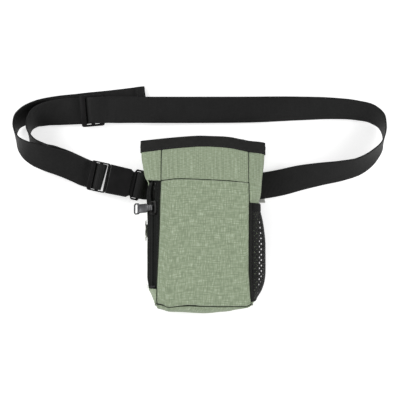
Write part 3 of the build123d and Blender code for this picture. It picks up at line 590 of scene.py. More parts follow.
# %% Cloth, tape and webbing finishes
sage_shades = paint(140, 154, 127), paint(167, 181, 152), paint(197, 209, 184)
sage_cloth = heathered("sage_cloth", sage_shades, thread=0.0011, runs=(0.007, 0.009), pitch=0.00062,
                       depth=0.00012)
flap_shades = paint(139, 152, 126), paint(170, 184, 155), paint(194, 207, 182)
sage_flap = heathered("sage_flap_cloth", flap_shades, thread=0.0008, runs=(0.03, 0.003), pitch=0.00062,
                      depth=0.00012)
lining_shades = paint(96, 98, 94), paint(116, 118, 114), paint(130, 132, 128)
lining_cloth = heathered("lining_cloth", lining_shades, thread=0.0006, runs=(0.004, 0.004), pitch=0.0005,
                         depth=0.00005)
patch_shades = paint(196, 197, 192), paint(212, 213, 208), paint(226, 226, 222)
patch_cloth = heathered("patch_cloth", patch_shades, thread=0.0008, runs=(0.005, 0.005), pitch=0.0007,
                        depth=0.0001)
binding_tape = ribbed("binding_tape", paint(30, 30, 29), paint(48, 48, 47), dull(0.95, 0.1, 0.06),
                      rib=0.0008, cross=0.0016, depth=0.00012)
webbing_weave = ribbed("webbing_weave", paint(14, 14, 14), paint(28, 28, 28), dull(0.6, 0.22, 0.04, 0.4),
                       rib=0.0012, cross=0.0021, depth=0.00014)
zip_weave = ribbed("zip_weave", paint(18, 19, 18), paint(32, 34, 32), dull(0.9, 0.15, 0.04),
                   rib=0.0007, cross=0.0014, depth=0.00008)
elastic_band = ribbed("elastic_band", paint(16, 16, 16), paint(34, 34, 34), dull(0.9, 0.15, 0.05),
                      rib=0.0009, cross=0.0009, depth=0.00018)
net_yarn = ribbed("net_yarn", paint(16, 16, 16), paint(36, 36, 35), dull(0.75, 0.2, 0.06),
                  rib=0.0005, cross=0.0005, depth=0.00008)
# Painted shade: the tape below is a dark sage that stands for the shadow down in each seam.
seam_shade_tape = ribbed("seam_shade_tape", paint(48, 53, 45), paint(68, 74, 62), dull(0.95, 0.05),
                   rib=0.0006, cross=0.0009, depth=0.00008)

# %% Thread, plastic and metal finishes
black_thread = moulded("black_thread", paint(20, 20, 20), gloss(0.6), grain=0.0004, depth=0.00003)[0]
sage_thread = moulded("sage_thread", paint(150, 160, 140), gloss(0.7), grain=0.0004, depth=0.00003)[0]
coil_nylon = moulded("coil_nylon", paint(16, 16, 16), gloss(0.4, 0.3), grain=0.0005, depth=0.00002)[0]
satin_plastic = moulded("satin_plastic", paint(9, 8, 9), gloss(0.45, 0.28), grain=0.0006, depth=0.00003)[0]


def worn_metal(name, coat, bare, settings, grain, depth, metallic_coat):
    """A coated metal that shows through where its edges rub."""
    made, tree, shader, place = moulded(name, coat, settings, grain, depth)
    wear = placed(tree, wear_group, Place=place)["Mask"]
    slow = placed(tree, mottle_group, Place=place, Size=0.004)["Value"]
    coat = mixed(tree, slow, coat, brighter(coat, 1.3))
    feed(tree, shader.inputs["Base Color"], mixed(tree, wear, coat, bare))
    feed(tree, shader.inputs["Metallic"], spread(tree, wear, 0.0, 1.0, metallic_coat, 1.0))
    return made


slider_paint = worn_metal("slider_paint", paint(14, 14, 14), paint(32, 31, 30), gloss(0.5, 0.25),
                          grain=0.0008, depth=0.00002, metallic_coat=0.0)
pull_metal = worn_metal("pull_metal", paint(76, 76, 78), paint(112, 112, 112), gloss(0.4),
                        grain=0.0005, depth=0.00002, metallic_coat=0.9)
eyelet_nickel = worn_metal("eyelet_nickel", paint(168, 168, 164), paint(205, 205, 202), gloss(0.25),
                           grain=0.0012, depth=0.00001, metallic_coat=1.0)
spring_steel = worn_metal("spring_steel", paint(150, 152, 155), paint(190, 190, 192), gloss(0.35),
                          grain=0.001, depth=0.00001, metallic_coat=1.0)
print("materials:", len(bpy.data.materials))

# %% [markdown]
# ## Panels and seams
# Each green panel is one sheet of cloth with a grey lining side. Where two of them meet, their raw
# edges are turned in, and a cord sunk between them is painted dark as the seam's shade, a thin dark line.

# %% Panel and seam helpers
CLOTH_THICK = 1.1
CORD_RADIUS = 0.6


def panel(name, flat, shaped, nodes, held="stretched", thickness=CLOTH_THICK, outside=sage_cloth,
          inside=lining_cloth, bends=None, under=None):
    """A panel: the grid it is cut from, the grid drawn into its seams and the solids it stands for."""
    piece = cloth(name, shaped, thickness, outside, inside, under)
    dress(piece, "pouch", nodes, bends)
    cut_flat(flat, held)


def seam_shade_cord(name, x, y, z, bends=None):
    """The sewn allowance in a seam, a cord painted dark as the seam's shadow."""
    dress(wire(name, [xyz(x, y, z - SEAM_DEPTH)], CORD_RADIUS, seam_shade_tape), bends=bends)


print("sewn panels are", CLOTH_THICK, "mm thick")

# %% [markdown]
# ## The pouch's own shape
# A handful of functions give the seams and the outline at each height of the pouch, and every panel
# is cut from them, so that neighbours share their seam lines. The lengths follow the solids, and the
# outline adds what sewing does: sides that swell, a leaning mouth and seams that wander a little.

# %% Seams and outline
pocket_low, pocket_high = box_mm("front_pocket_panel")
mouth_half, mouth_y = box_mm("front_binding")[1][:2]
hinge_y, bottom_y = pocket_high[1] + 0.3, pocket_low[1]
hinge_z, base_z = box_mm("flap_panel")[1][2] + 0.1, box_mm("bottom_panel")[1][2]
FLAP_SLOPE = 0.367
FRONT_HALF = 41
RIM_DEPTH = 10.7
rim_drop = curve((-61, 5.3), (-50, 4.3), (-32, 2.5), (-14, 1.0), (-4, 0.5), (6, 0.8), (16, 1.1), (25, 1.9),
                 (35, 3.9), (44, 5.6), (53, 6.3), (60, 7.7))

front_height = curve((bottom_y, base_z), (-67, 39.4), (-56, 40.7), (-30, 37.6), (0, 34.0), (hinge_y, hinge_z))
left_seam = curve((-76, 43.9), (-58, 43.6), (-30, 42.4), (0, 41.3), (22, 40.9), (hinge_y, 40.2), (84, 39.9))
right_seam = curve((-76, 43.7), (-62, 42.6), (-40, 41.6), (0, 41.8), (22, 42.0), (hinge_y, 41.8), (84, 41.9))
left_side = curve((-76, 44.9), (-74, 45.9), (-69.5, 47.6), (-65, 49.4), (-60, 51.9), (-54, 52.7), (-40, 52.8),
                  (-6, 53.0), (12, 53.2), (27, 53.9), (38, 54.0), (47, 55.9), (58, 57.6), (68, 58.9),
                  (84, 59.3))
right_side = curve((-76, 44.8), (-70, 47.2), (-60, 49.8), (-40, 50.4), (0, 50.6), (14, 50.9), (21, 51.4),
                   (26, 52.9), (40, 54.0), (47, 54.6), (54, 55.6), (66, 56.6), (75, 57.0), (84, 57.1))
turn_height = curve((-76, 24.6), (-60, 29.0), (0, 22.2), (hinge_y, 17.6), (84, 7.0))
pocket_seam = curve((-42, -0.2), (-23, 1.5), (0, 0.9), (20, 0.0), (42, -1.8))
bottom_seam = curve((-45, 1.4), (-39, 0.5), (-33, -1.7), (-24, -0.7), (-14, -0.1), (0, -0.7), (20, -0.9),
                    (39, -0.8), (45, 1.8))
bottom_swell = curve((-46, 3.6), (-43.5, 4.6), (-40, 5.1), (-34, 5.5), (-30, 5.9), (-22, 6.7), (-11, 7.7),
                     (0, 7.9), (8, 7.3), (15, 6.4), (22, 5.8), (30, 4.0), (34, 3.4), (38, 2.6), (42, 1.9),
                     (46, 0.6))
back_lift = curve((0, 0.0), (4, 0.4), (13, 4.0), (17, 4.4))
SIDES = ((-1, "left", left_seam, left_side), (1, "right", right_seam, right_side))


def flap_height(y):
    return hinge_z - (y - hinge_y) * FLAP_SLOPE


def between_seams(y, share):
    """Places from the left front seam to the right one, just inside them."""
    return between(SEAM_GAP - left_seam(y), right_seam(y) - SEAM_GAP, share)


def side_fall(share):
    """The shoulder's shape, from 0 at the front seam to 1 where the side stands upright."""
    return 1 - (1 - np.clip(share, 0, 1) ** 1.3) ** 0.7


def front_crown(x, y):
    """How far the stuffed front stands up between its seams."""
    share = np.clip(np.abs(x) / FRONT_HALF, 0, 1)
    rise = np.interp(y, [bottom_y, -40, 10, hinge_y, 62, 84], [0.6, 1.6, 1.4, 0.5, 0.9, 0.2])
    return (1 - share**2.4) * rise


def flap_surface(x, y):
    """The outside of the flap and its folds, from one side of the mouth to the other."""
    seam = np.where(x < 0, left_seam(y), right_seam(y))
    side = np.where(x < 0, left_side(y), right_side(y))
    fall = side_fall((np.abs(x) - seam) / (side - seam))
    return flap_height(y) - fall * (flap_height(y) - turn_height(y)) + front_crown(x, y)


def rim_line(x, below):
    """A line along the mouth's edge, this far below it."""
    return mouth_y - rim_drop(x) - below * (1 + 0.04 * (x / 50) ** 2)


print("mouth", 2 * mouth_half, "mm wide, front seam to mouth", mouth_y - hinge_y, "mm")

# %% [markdown]
# ## Front pocket panel
# The front is one flat-cut rectangle of cloth, sewn on all four sides and stuffed a little from
# behind. It is made as a grid between its four seam lines, so its corners sit in the seams.

# %% Front pocket panel
up_shares = shares(116, 2.4)
level = between(bottom_y, hinge_y, up_shares)[:, None]
pocket_x = between_seams(level, shares(83, 2.2)[None, :])
low, high = bottom_y + bottom_seam(pocket_x) + SEAM_GAP, hinge_y + pocket_seam(pocket_x) - SEAM_GAP
pocket_y = between(low, high, up_shares[:, None])
pocket_grid = xyz(pocket_x, pocket_y, front_height(pocket_y) + front_crown(pocket_x, pocket_y))
pocket_sewn = sewn(pocket_grid, dict.fromkeys("lrbt", 1), seed=3, waves=0.5)
panel("front_pocket_cloth", pocket_grid, pocket_sewn, ["front_pocket_panel"])

# The cords below are painted seam shade: dark lines where the cloth is drawn in.
seam_y = np.linspace(bottom_y + 1.5, hinge_y, 60)
for side, word, seam, _ in SIDES:
    seam_shade_cord(f"{word}_front_seam", side * seam(seam_y), seam_y, front_height(seam_y))
for word, edge_y, wander in (("top", hinge_y, pocket_seam), ("bottom", bottom_y, bottom_seam)):
    seam_x = np.linspace(-left_seam(edge_y), right_seam(edge_y), 50)
    seam_y = edge_y + wander(seam_x)
    seam_shade_cord(f"pocket_{word}_seam", seam_x, seam_y, front_height(seam_y) + front_crown(seam_x, seam_y))

# %% [markdown]
# ## Flap and its folds
# Above the pocket the same cloth goes on as a flap that bows out when the mouth is pulled open,
# while the folds at its sides stay with the pouch. Each half is made where it lies, and names the two
# bodies it would bend between, the pouch at its side and the flap near the middle; no bend is set up.

# %% Flap panels and folds
BEND_IN = 14.0
RIM_GAP = 2.5


def bend(side):
    """The two bodies that a half of the flap would bend between, the pouch at its side and the flap near the
    middle, with a line on each.
    """
    edge = Vector((side * (mouth_half + 0.5) * MM, mouth_y * MM, 0))
    return "pouch", "flap", edge, Vector((side * BEND_IN * MM, mouth_y * MM, 0))


flap_up = shares(42, 2.2, fine_end=False)
half_across = shares(41, 2.2, fine_end=False) / 2
flap_across = np.concatenate([half_across, 1 - half_across[-2::-1]])
level = between(hinge_y, mouth_y, flap_up)[:, None]
flap_x = between_seams(level, flap_across[None, :])
flap_y = between(hinge_y + pocket_seam(flap_x) + SEAM_GAP, rim_line(flap_x, RIM_GAP), flap_up[:, None])
flap_flat = xyz(flap_x, flap_y, flap_surface(flap_x, flap_y))
flap_grid = sewn(flap_flat, dict.fromkeys("lrb", 1), seed=5, waves=0.45)
flap_under = flap_grid - outward(flap_grid) * CLOTH_THICK
middle = len(half_across) - 1
for (side, word, seam, _), part in zip(SIDES, (slice(0, middle + 1), slice(middle, None))):
    half = flap_grid[:, part]
    panel(f"{word}_flap_cloth", half, half, ["flap_panel"], outside=sage_flap, bends=bend(side),
          under=flap_under[:, part])
    # A dark cord in the flap's seam, painted as its shade.
    seam_y = np.linspace(hinge_y, mouth_y - 6, 24)
    seam_x = side * seam(seam_y)
    seam_shade_cord(f"{word}_flap_seam", seam_x, seam_y, flap_surface(seam_x, seam_y), bend(side))

eased = 1 - (1 - shares(22, 1.6)) ** 1.7
for side, word, seam, edge in SIDES:
    fold_x = side * between(seam(level) + SEAM_GAP, edge(level), eased[None, :])
    low = hinge_y + pocket_seam(side * seam(level)) + SEAM_GAP
    fold_y = between(low, rim_line(fold_x, RIM_GAP), flap_up[:, None])
    fold_grid = xyz(fold_x, fold_y, flap_surface(fold_x, fold_y))
    seams_here = {"b": 0.12, "l": 1}
    if side < 0:
        fold_grid, seams_here = fold_grid[:, ::-1], {"b": 1, "r": 1}
    fold_sewn = sewn(fold_grid, seams_here, seed=7 + side, waves=0.25)
    panel(f"{word}_fold_cloth", fold_grid, fold_sewn, [f"{word}_flap_fold"], "folded",
          outside=sage_flap, bends=bend(side))

# %% [markdown]
# ## Binding round the mouth
# A ribbed tape is folded over the raw edge and sewn through, with a spring strip inside that snaps
# the mouth shut. It is a closed bar with a round top, thickest at its edge, laid along the arc.

# %% Bindings and spring strips
BINDING_HALF = 1.35
BINDING_SINK = 0.55


def binding_ring(surface, x, depth, half, low, top):
    """Rings round the folded tape, one at each x, from its lower edge over the rim and back."""
    outer = list(zip((0.0, 0.12, 0.5, 0.8, 0.93, 1.0), (0.62, 0.95, 1.0, 1.0, 0.8, 0.3)))
    rings = []
    for share, swell in outer + [(share, -swell) for share, swell in outer[::-1]]:
        y = rim_line(x, between(low, top, share))
        normal = xyz(-np.gradient(surface(x, y), x), FLAP_SLOPE, 1.0)
        normal /= np.linalg.norm(normal, axis=-1, keepdims=True)
        rings.append(xyz(x, y, surface(x, y) - depth) + normal * swell * half)
    return np.stack(rings, 1)


def rim_stations(side):
    """Places along half of the mouth, close together at its corner."""
    share = np.concatenate([np.linspace(0, 0.75, 22), 0.75 + 0.25 * np.sin(np.linspace(0, pi / 2, 12)[1:])])
    edge = (left_side if side < 0 else right_side)(80.0) + 0.8
    return side * share * edge


for side, word, _, _ in SIDES:
    x = rim_stations(side)
    ring = binding_ring(flap_surface, x, BINDING_SINK, BINDING_HALF, RIM_DEPTH, 0)
    half = tube(f"{word}_front_binding", ring, binding_tape)
    dress(half, stands_for=["front_binding"], bends=bend(side))
    inner_x = side * np.linspace(0, 38, 20)
    ring = binding_ring(flap_surface, inner_x, depth=1.2, half=0.2, low=9.5, top=1.5)
    strip = tube(f"{word}_front_spring", ring, spring_steel)
    dress(strip, stands_for=["front_spring"], bends=bend(side))
    line_y = rim_line(x, RIM_DEPTH - 1.6)
    line = xyz(x, line_y, flap_surface(x, line_y) - BINDING_SINK + BINDING_HALF)[2:-5]
    thread = stitches(f"{word}_binding_stitches", line, (0, 0.34, 0.94), black_thread)
    dress(thread, bends=bend(side))

back_rim_z = box_mm("back_binding")[1][2] + 0.1


def back_rim(x, y):
    """The back panel's rim lies flat, and turns up a little at the mouth's corners."""
    return back_rim_z + 0.9 * np.clip((np.abs(x) - 50) / 9, 0, 1) ** 2 + 0 * y


x = np.concatenate([rim_stations(-1)[:0:-1], rim_stations(1)])
ring = binding_ring(back_rim, x, depth=1.3, half=1.2, low=RIM_DEPTH, top=0.3)
dress(tube("back_binding_tape", ring, binding_tape), "pouch", ["back_binding"])
back_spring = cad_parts["back_spring"].data
back_spring.materials.clear()
back_spring.materials.append(spring_steel)

# %% [markdown]
# ## Sides, bottom and back
# The gusset is one long strip that runs from the front seam over a soft shoulder, down the side and
# under to the back seam. Each row of the grid is a smooth line through a few places on that path.

# %% Side sections
WALL_ONLY = 2.0
EYELET_HOLE = 6.4


def side_keys(y, seam_x, side_x, seam_z, turn_z, from_share=0.0):
    """Rows of key points up the side from the back edge, and over the shoulder down to a share of it."""
    low = back_lift(y)
    keys = [(side_x - 2.6, low + 0.3), (side_x - 0.9, low + 1.3), (side_x - 0.1, low + 3.6),
            (side_x + 0.2, (low + turn_z) / 2), (side_x, turn_z)]
    for share in (0.985, 0.9, 0.72, 0.5, 0.25, 0.0):
        if share >= from_share:
            drop = side_fall(share) * (seam_z - turn_z)
            keys.append((seam_x + (side_x - seam_x) * share, seam_z - drop))
    return np.stack([xyz(x, y, z) for x, z in keys], 1)


zip_low_y = box_mm("zip_tape_rear")[0][1]
wall_in = curve((-76, 0.0), (-60, 0.3), (-52, 0.9), (-26, 1.1), (-16, 0.2), (3, 0.2), (13, 1.1), (28, 1.2),
                (38, 1.6), (44, 0.3), (50, 0.0), (84, 0.0))
press = curve((-76, 0.0), (-71, 0.5), (-64, 1.8), (12, 1.8), (19, 1.4), (24, 0.0), (84, 0.0))


def wall_top(side):
    """Where the side's cloth ends under the binding, at the mouth's corner."""
    return float(rim_line(side * mouth_half, 3.5))


def cut_round(piece, centre, radius):
    """Punches a round hole from side to side for the eyelet."""
    punch = linked("punch", bpy.data.meshes.new("punch"))
    work = bmesh.new()
    bmesh.ops.create_cone(work, cap_ends=True, segments=48, radius1=radius * MM, radius2=radius * MM,
                          depth=12 * MM)
    work.to_mesh(punch.data)
    work.free()
    punch.rotation_mode = "QUATERNION"
    punch.rotation_quaternion = Vector((1, 0, 0)).to_track_quat("Z", "Y")
    punch.location = Vector(centre) * MM
    cut = piece.modifiers.new("eyelet hole", "BOOLEAN")
    cut.operation, cut.solver, cut.object = "DIFFERENCE", "EXACT", punch
    apply_modifiers(piece)
    bpy.data.objects.remove(punch)


# %% Left side: the wall under the zip and the corner below it
wall_y = between(zip_low_y, wall_top(-1), shares(135, 2.4, fine_start=False, fine_end=False))
wall_keys = side_keys(wall_y, left_seam(wall_y), left_side(wall_y) - wall_in(wall_y),
                      front_height(np.minimum(wall_y, hinge_y)), turn_height(wall_y), WALL_ONLY)
wall_keys[..., 0] *= -1
wall_grid = sewn(through(wall_keys, shares(26, 1.8)), {"l": 1, "r": 0.7}, seed=11, waves=0.2)
left_wall = cloth("left_side_cloth", wall_grid, CLOTH_THICK, sage_cloth, lining_cloth)

corner_y = between(bottom_y + 0.2, zip_low_y, shares(15.5, 1.5))
corner_keys = side_keys(corner_y, left_seam(corner_y) + SEAM_GAP, left_side(corner_y) - wall_in(corner_y),
                        front_height(corner_y), turn_height(corner_y))
corner_keys[..., 0] *= -1
corner_points = through(corner_keys, shares(42, 1.8))
zip_end = np.clip((corner_points[..., 2] - turn_height(corner_points[..., 1]) + 1) / 3, 0, 1)
corner_seams = {"l": 1, "r": 1, "b": 0.8, "t": zip_end}
corner_grid = sewn(corner_points, corner_seams, seed=12, waves=0.15, plumb=True)
panel("left_corner_cloth", corner_points, corner_grid, ["left_lower_shoulder"])

eyelet_low, eyelet_high = box_mm("eyelet_ring")
cut_round(left_wall, (eyelet_low + eyelet_high) / 2, EYELET_HOLE)
dress(left_wall, "pouch", ["left_gusset"])
cut_flat(wall_grid, "stretched")

# %% Right side: shoulder and wall in one, and the wall beside the mouth
gusset_y = between(bottom_y + 0.2, hinge_y - 1.0, shares(115, 2.4))
gusset_keys = side_keys(gusset_y, right_seam(gusset_y) + SEAM_GAP, right_side(gusset_y),
                        front_height(gusset_y) - press(gusset_y), turn_height(gusset_y))[:, ::-1]
gusset_points = through(gusset_keys, shares(46, 1.8))
gusset_seams = {"l": 1, "r": 1, "b": 0.8, "t": 0.12}
gusset_grid = sewn(gusset_points, gusset_seams, seed=13, waves=0.25, plumb=True)
panel("right_side_cloth", gusset_grid, gusset_grid, ["right_gusset"])

upper_y = between(hinge_y - 1.0, wall_top(1), shares(38, 2.4, fine_start=False, fine_end=False))
upper_keys = side_keys(upper_y, right_seam(upper_y), right_side(upper_y), hinge_z, turn_height(upper_y),
                       WALL_ONLY)[:, ::-1]
upper_grid = sewn(through(upper_keys, shares(20, 1.8)), {"r": 1}, seed=14, waves=0.15)
panel("right_mouth_side_cloth", upper_grid, upper_grid, ["right_gusset"])

# %% [markdown]
# The bottom is a wide strip that swells past both of its seams, because the weight of the treats
# lies on it. The back is the flattest panel: it lies against the wearer, and lifts only where the
# belt's sleeve is sewn on.

# %% Bottom, back and inner panels
FLOOR_GAP = 0.4
bottom_across = shares(90, 2.2)
front_x = between_seams(bottom_y, bottom_across)
back_x = between(-left_side(bottom_y - 1) + 1.5, right_side(bottom_y - 1) - 1.5, bottom_across)
front_y = bottom_y + bottom_seam(front_x) - SEAM_GAP
swell = bottom_swell(front_x)
front_seam_z = front_height(np.maximum(front_y, bottom_y)) - 0.1
bottom_keys = [xyz(back_x, bottom_y - 0.3, FLOOR_GAP)]
for share, out, height in ((0.15, 0.75, 0.05), (0.35, 0.97, 0.22), (0.55, 1.0, 0.45), (0.75, 0.86, 0.7),
                           (0.92, 0.5, 0.92)):
    y = between(bottom_y - 0.3, front_y, share) - swell * out
    bottom_keys.append(xyz(between(back_x, front_x, share), y, between(FLOOR_GAP, front_seam_z, height)))
bottom_keys.append(xyz(front_x, front_y, front_seam_z))
bottom_up = shares(48, 2.2)
bottom_points = through(np.stack(bottom_keys, 1), bottom_up).transpose(1, 0, 2)
left_end, right_end = (through(keys, bottom_up)[0] for keys in (corner_keys[:1], gusset_keys[:1, ::-1]))
overlap = np.array([0.4, 0, 0])
round_ends = np.concatenate([left_end[:, None] + overlap, bottom_points, right_end[:, None] - overlap], 1)
bottom_seams = {"l": 0.5, "r": 0.5, "b": 1, "t": 1}
bottom_points = through(round_ends, shares(96, 2.2))
bottom_grid = sewn(bottom_points, bottom_seams, seed=17, waves=0.2, depth=1.3, plumb=True)
bottom_grid[..., 2] = np.maximum(bottom_grid[..., 2], CLOTH_THICK + 0.05)
panel("bottom_cloth", bottom_grid, bottom_grid, ["bottom_panel"])

back_up = shares(156, 2.4, fine_end=False)
level = between(bottom_y, mouth_y - 2.5, back_up)[:, None]
back_x = between(right_side(level) - 2.4, 2.4 - left_side(level), shares(100, 2.6)[None, :])
back_y = between(bottom_y, rim_line(back_x, 3.0), back_up[:, None])
back_grid = xyz(back_x, back_y, back_lift(back_y) + 0.15)
back_sewn = sewn(back_grid, dict.fromkeys("lrb", 0.35), seed=19, waves=0.08)
panel("back_cloth", back_grid, back_sewn, ["back_panel"], thickness=1.2)

inner_low, inner_high = box_mm("main_front_panel")
inner_y = between(inner_low[1] + 0.5, inner_high[1] - 0.5, shares(114, 3, False, False))[:, None]
inner_x = between(-left_side(inner_y) + 3.4, right_side(inner_y) - 3.4, shares(98, 3, False, False)[None, :])
pocket_room = np.interp(inner_y, [inner_low[1], hinge_y - 8, hinge_y], [11.3, 11.3, 2.4])
narrow = np.interp(inner_y, [hinge_y - 8, hinge_y], [1.0, 0.76])
inner_grid = xyz(inner_x * narrow, inner_y, front_height(inner_y) - pocket_room)
inner_sewn = sewn(inner_grid, {}, seed=23, waves=0.4)
panel("inner_front_cloth", inner_grid, inner_sewn, ["main_front_panel"], thickness=1.0,
      outside=lining_cloth)

# %% [markdown]
# ## Net side pocket
# The side pocket is knitted net with six-sided holes, gathered under a ribbed elastic band. It could
# be a sheet with a see-through finish, but the real yarns stand out from the holes, so the net is a
# lattice of small hexagonal cells mapped on the bulging surface, with the holes left open.

# %% Net surface
band_low, band_high = box_mm("mesh_pocket_band")
net_foot = box_mm("mesh_pocket_net")[0][1]
net_bulge = curve((-71.5, 48.0), (-67.5, 49.9), (-63.7, 52.4), (-60, 54.2), (-52.4, 56.5), (-45, 57.3),
                  (-35, 57.4), (-18, 57.4), (-11, 56.9), (-5, 56.2), (0, 55.5), (7.7, 54.0), (12, 52.9),
                  (20, 52.5))


def net_keys(y, stand=0.0):
    """Rows of key points from the net's seam over its bulge and down to the back seam."""
    top, out = front_height(y), net_bulge(y) + stand
    seam_x = right_seam(y) + 0.4
    reach = out - seam_x
    end = np.minimum(out - 2.6, right_side(y) + 1.0)
    keys = [(seam_x, top - 0.7), (seam_x + 0.28 * reach, top - 1.0 + stand),
            (seam_x + 0.62 * reach, top - 4.6 + stand), (seam_x + 0.88 * reach, top - 9.5 + stand),
            (out, top - 16), (out + 0.1, 11), (out - 0.3, 4.6), (out - 1.6, 1.8), (end, 1.2)]
    return np.stack([xyz(x, y, z) for x, z in keys], 1)


sample_y = np.linspace(net_foot, band_high[1], 60)
sample_shares = np.linspace(0, 1, 60)
net_sheet = through(net_keys(sample_y), sample_shares)
net_normal = outward(net_sheet)
net_length = run(net_sheet, 1)[:, -1].mean()


def on_net(across, up, lift):
    """Points on the net's surface, from distances across and up it."""
    i = np.clip((up - sample_y[0]) / (sample_y[-1] - sample_y[0]), 0, 1) * (len(sample_y) - 1)
    j = np.clip(across / net_length, 0, 1) * (len(sample_shares) - 1)
    row = np.minimum(i.astype(int), len(sample_y) - 2)
    col = np.minimum(j.astype(int), len(sample_shares) - 2)
    a, b = (i - row)[..., None], (j - col)[..., None]

    def blend_of(table):
        low = table[row, col] * (1 - b) + table[row, col + 1] * b
        high = table[row + 1, col] * (1 - b) + table[row + 1, col + 1] * b
        return low * (1 - a) + high * a

    return blend_of(net_sheet) + blend_of(net_normal) * lift


# %% Net lattice
CELL = 1.65
STRETCH = 1.75
HOLE = 0.49
YARN = 0.4


def net_cells(width, low_y, high_y):
    """The flat net: its points, and a four-cornered face along each side of each six-sided hole."""
    column, row = 1.5 * CELL, sqrt(3) * CELL * STRETCH
    turn = np.arange(6) * pi / 3
    hexagon = np.stack([np.cos(turn), np.sin(turn)], -1) * CELL
    found, points, faces = {}, [], []

    def corner(place, kind):
        key = (round(place[0], 2), round(place[1], 2), kind)
        if key not in found:
            found[key] = len(points)
            points.append(tuple(place))
        return found[key]

    for i in range(int(width / column)):
        for j in range(int((high_y - low_y) / row)):
            centre = np.array([CELL + i * column, low_y + row * (0.6 + j + 0.5 * (i % 2))])
            if centre[0] + CELL > width or centre[1] + row / 2 > high_y:
                continue
            outer = [corner(centre + spot, "corner") for spot in hexagon * [1, STRETCH]]
            inner = [corner(centre + spot * HOLE, "hole") for spot in hexagon]
            for k in range(6):
                after = (k + 1) % 6
                faces.append((outer[k], outer[after], inner[after], inner[k]))
    return np.array(points), faces


def lattice(name, width, low_y, high_y, material):
    """The net's cells on both faces of the yarn, as one closed mesh with open holes."""
    flat, faces = net_cells(width, low_y, high_y)
    count = len(flat)
    edge_count = {}
    for a, b, c, d in faces:
        for edge in ((a, b), (c, d)):
            edge_count.setdefault(tuple(sorted(edge)), []).append(edge)
    closed = faces + [tuple(k + count for k in face[::-1]) for face in faces]
    for edges in edge_count.values():
        if len(edges) == 1:
            a, b = edges[0]
            closed.append((b, a, a + count, b + count))
    both = np.concatenate([on_net(flat[:, 0], flat[:, 1], lift) for lift in (YARN / 2, -YARN / 2)])
    return new_piece(name, both, closed, np.concatenate([flat, flat]), [material], sharp=180)


under_band = band_low[1] + 5.5
net = lattice("side_pocket_net", net_length, net_foot, under_band, net_yarn)
smooth = net.modifiers.new("rounded", "SUBSURF")
smooth.levels = smooth.render_levels = 1
apply_modifiers(net)
dress(net, "pouch", ["mesh_pocket_net"])

# %% Elastic band, piping and the net's hem
def edge_strip(name, low_y, high_y, stand, thickness, nodes=(), drop=0.0):
    """A strip of elastic round the side, on the net's surface."""
    points = through(net_keys(np.linspace(low_y, high_y, 9), stand), shares(46, 1.6))
    points[..., 1] -= drop * run(points, 1) / net_length
    grid = sewn(points, {"b": 0.3, "t": 0.5}, seed=29, waves=0.12, wave_length=12)
    dress(cloth(name, grid, thickness, elastic_band, elastic_band), "pouch", nodes)


def tape_strip(name, x, z, thickness):
    """A strip of tape along the pocket's edge."""
    dress(cloth(name, xyz(x, row_y, z), thickness, binding_tape, binding_tape))


edge_strip("pocket_elastic_band", band_low[1], band_high[1] + 0.6, stand=0.6, thickness=1.3,
           nodes=["mesh_pocket_band"], drop=1.6)
edge_strip("pocket_hem", net_foot - 0.6, net_foot + 2.0, stand=0.4, thickness=1.0)
piping_y = np.linspace(net_foot + 1, band_high[1], 60)
piping_z = front_height(piping_y) - 0.55 + 0.1 * np.sin(piping_y / 4)
piping = wire("pocket_piping", [xyz(right_seam(piping_y) + 1.7, piping_y, piping_z)], 0.8, binding_tape)
dress(piping, "pouch", ["mesh_pocket_piping"])

row_y = piping_y[:, None]
tape_strip("pocket_facing", right_seam(row_y) + [0.3, 0.6, 1.2, 1.9, 2.6, 3.2],
           front_height(row_y) - [1.6, 0.9, 0.75, 0.8, 0.95, 1.5], 0.6)
tape_strip("pocket_back_tape", right_side(row_y) + [-1.2, -0.8, 0.2, 1.0, 1.6, 1.9],
           back_lift(row_y) * [1, 1, 0.5, 0.2, 0, 0] + [1.4, 1.9, 2.0, 1.9, 1.5, 0.9], 0.7)

# %% [markdown]
# ## Zip
# A reverse coil zip shows only its two tapes, whose folded edges meet over the hidden coils. The
# tapes lie on the slanted plane that the slider runs on, and bow apart above it. Their ends are sewn
# in under the cloth, and each coil is a real spiral of nylon seen in the open part.

# %% Zip plane and tapes
ZIP_SLOPE = 0.1188
ZIP_X, ZIP_SINK = -47.0, 5.0
zip_along = np.array([0, 1, -ZIP_SLOPE]) / sqrt(1 + ZIP_SLOPE**2)
shoulder = np.array([-10.0, 0, 12.0])
zip_normal = shoulder - zip_along * (shoulder @ zip_along)
zip_normal /= np.linalg.norm(zip_normal)
zip_side = np.cross(zip_normal, zip_along)
zip_origin = np.array([ZIP_X, 0, hinge_z + hinge_y * ZIP_SLOPE - ZIP_SINK])


def zip_point(along, side, height):
    """Points from distances along the zip, across it and up from its plane."""
    along, side, height = (part[..., None] for part in np.broadcast_arrays(along, side, height))
    return zip_origin + along * zip_along + side * zip_side + height * zip_normal


ZIP_LOW, ZIP_HIGH = -59.1, 40.7
zip_gap = curve((13.5, 0.2), (18, 0.8), (24, 2.3), (29, 2.7), (34, 2.0), (40.7, 0.25))
zip_bow = curve((6, 0.0), (18, 0.7), (27, 1.3), (34, 0.8), (40.7, 0.0))
zip_tuck = curve((-60, 1.2), (-54, 0.4), (-48, 0.0), (30, 0.0), (36, 0.5), (40.7, 2.2))


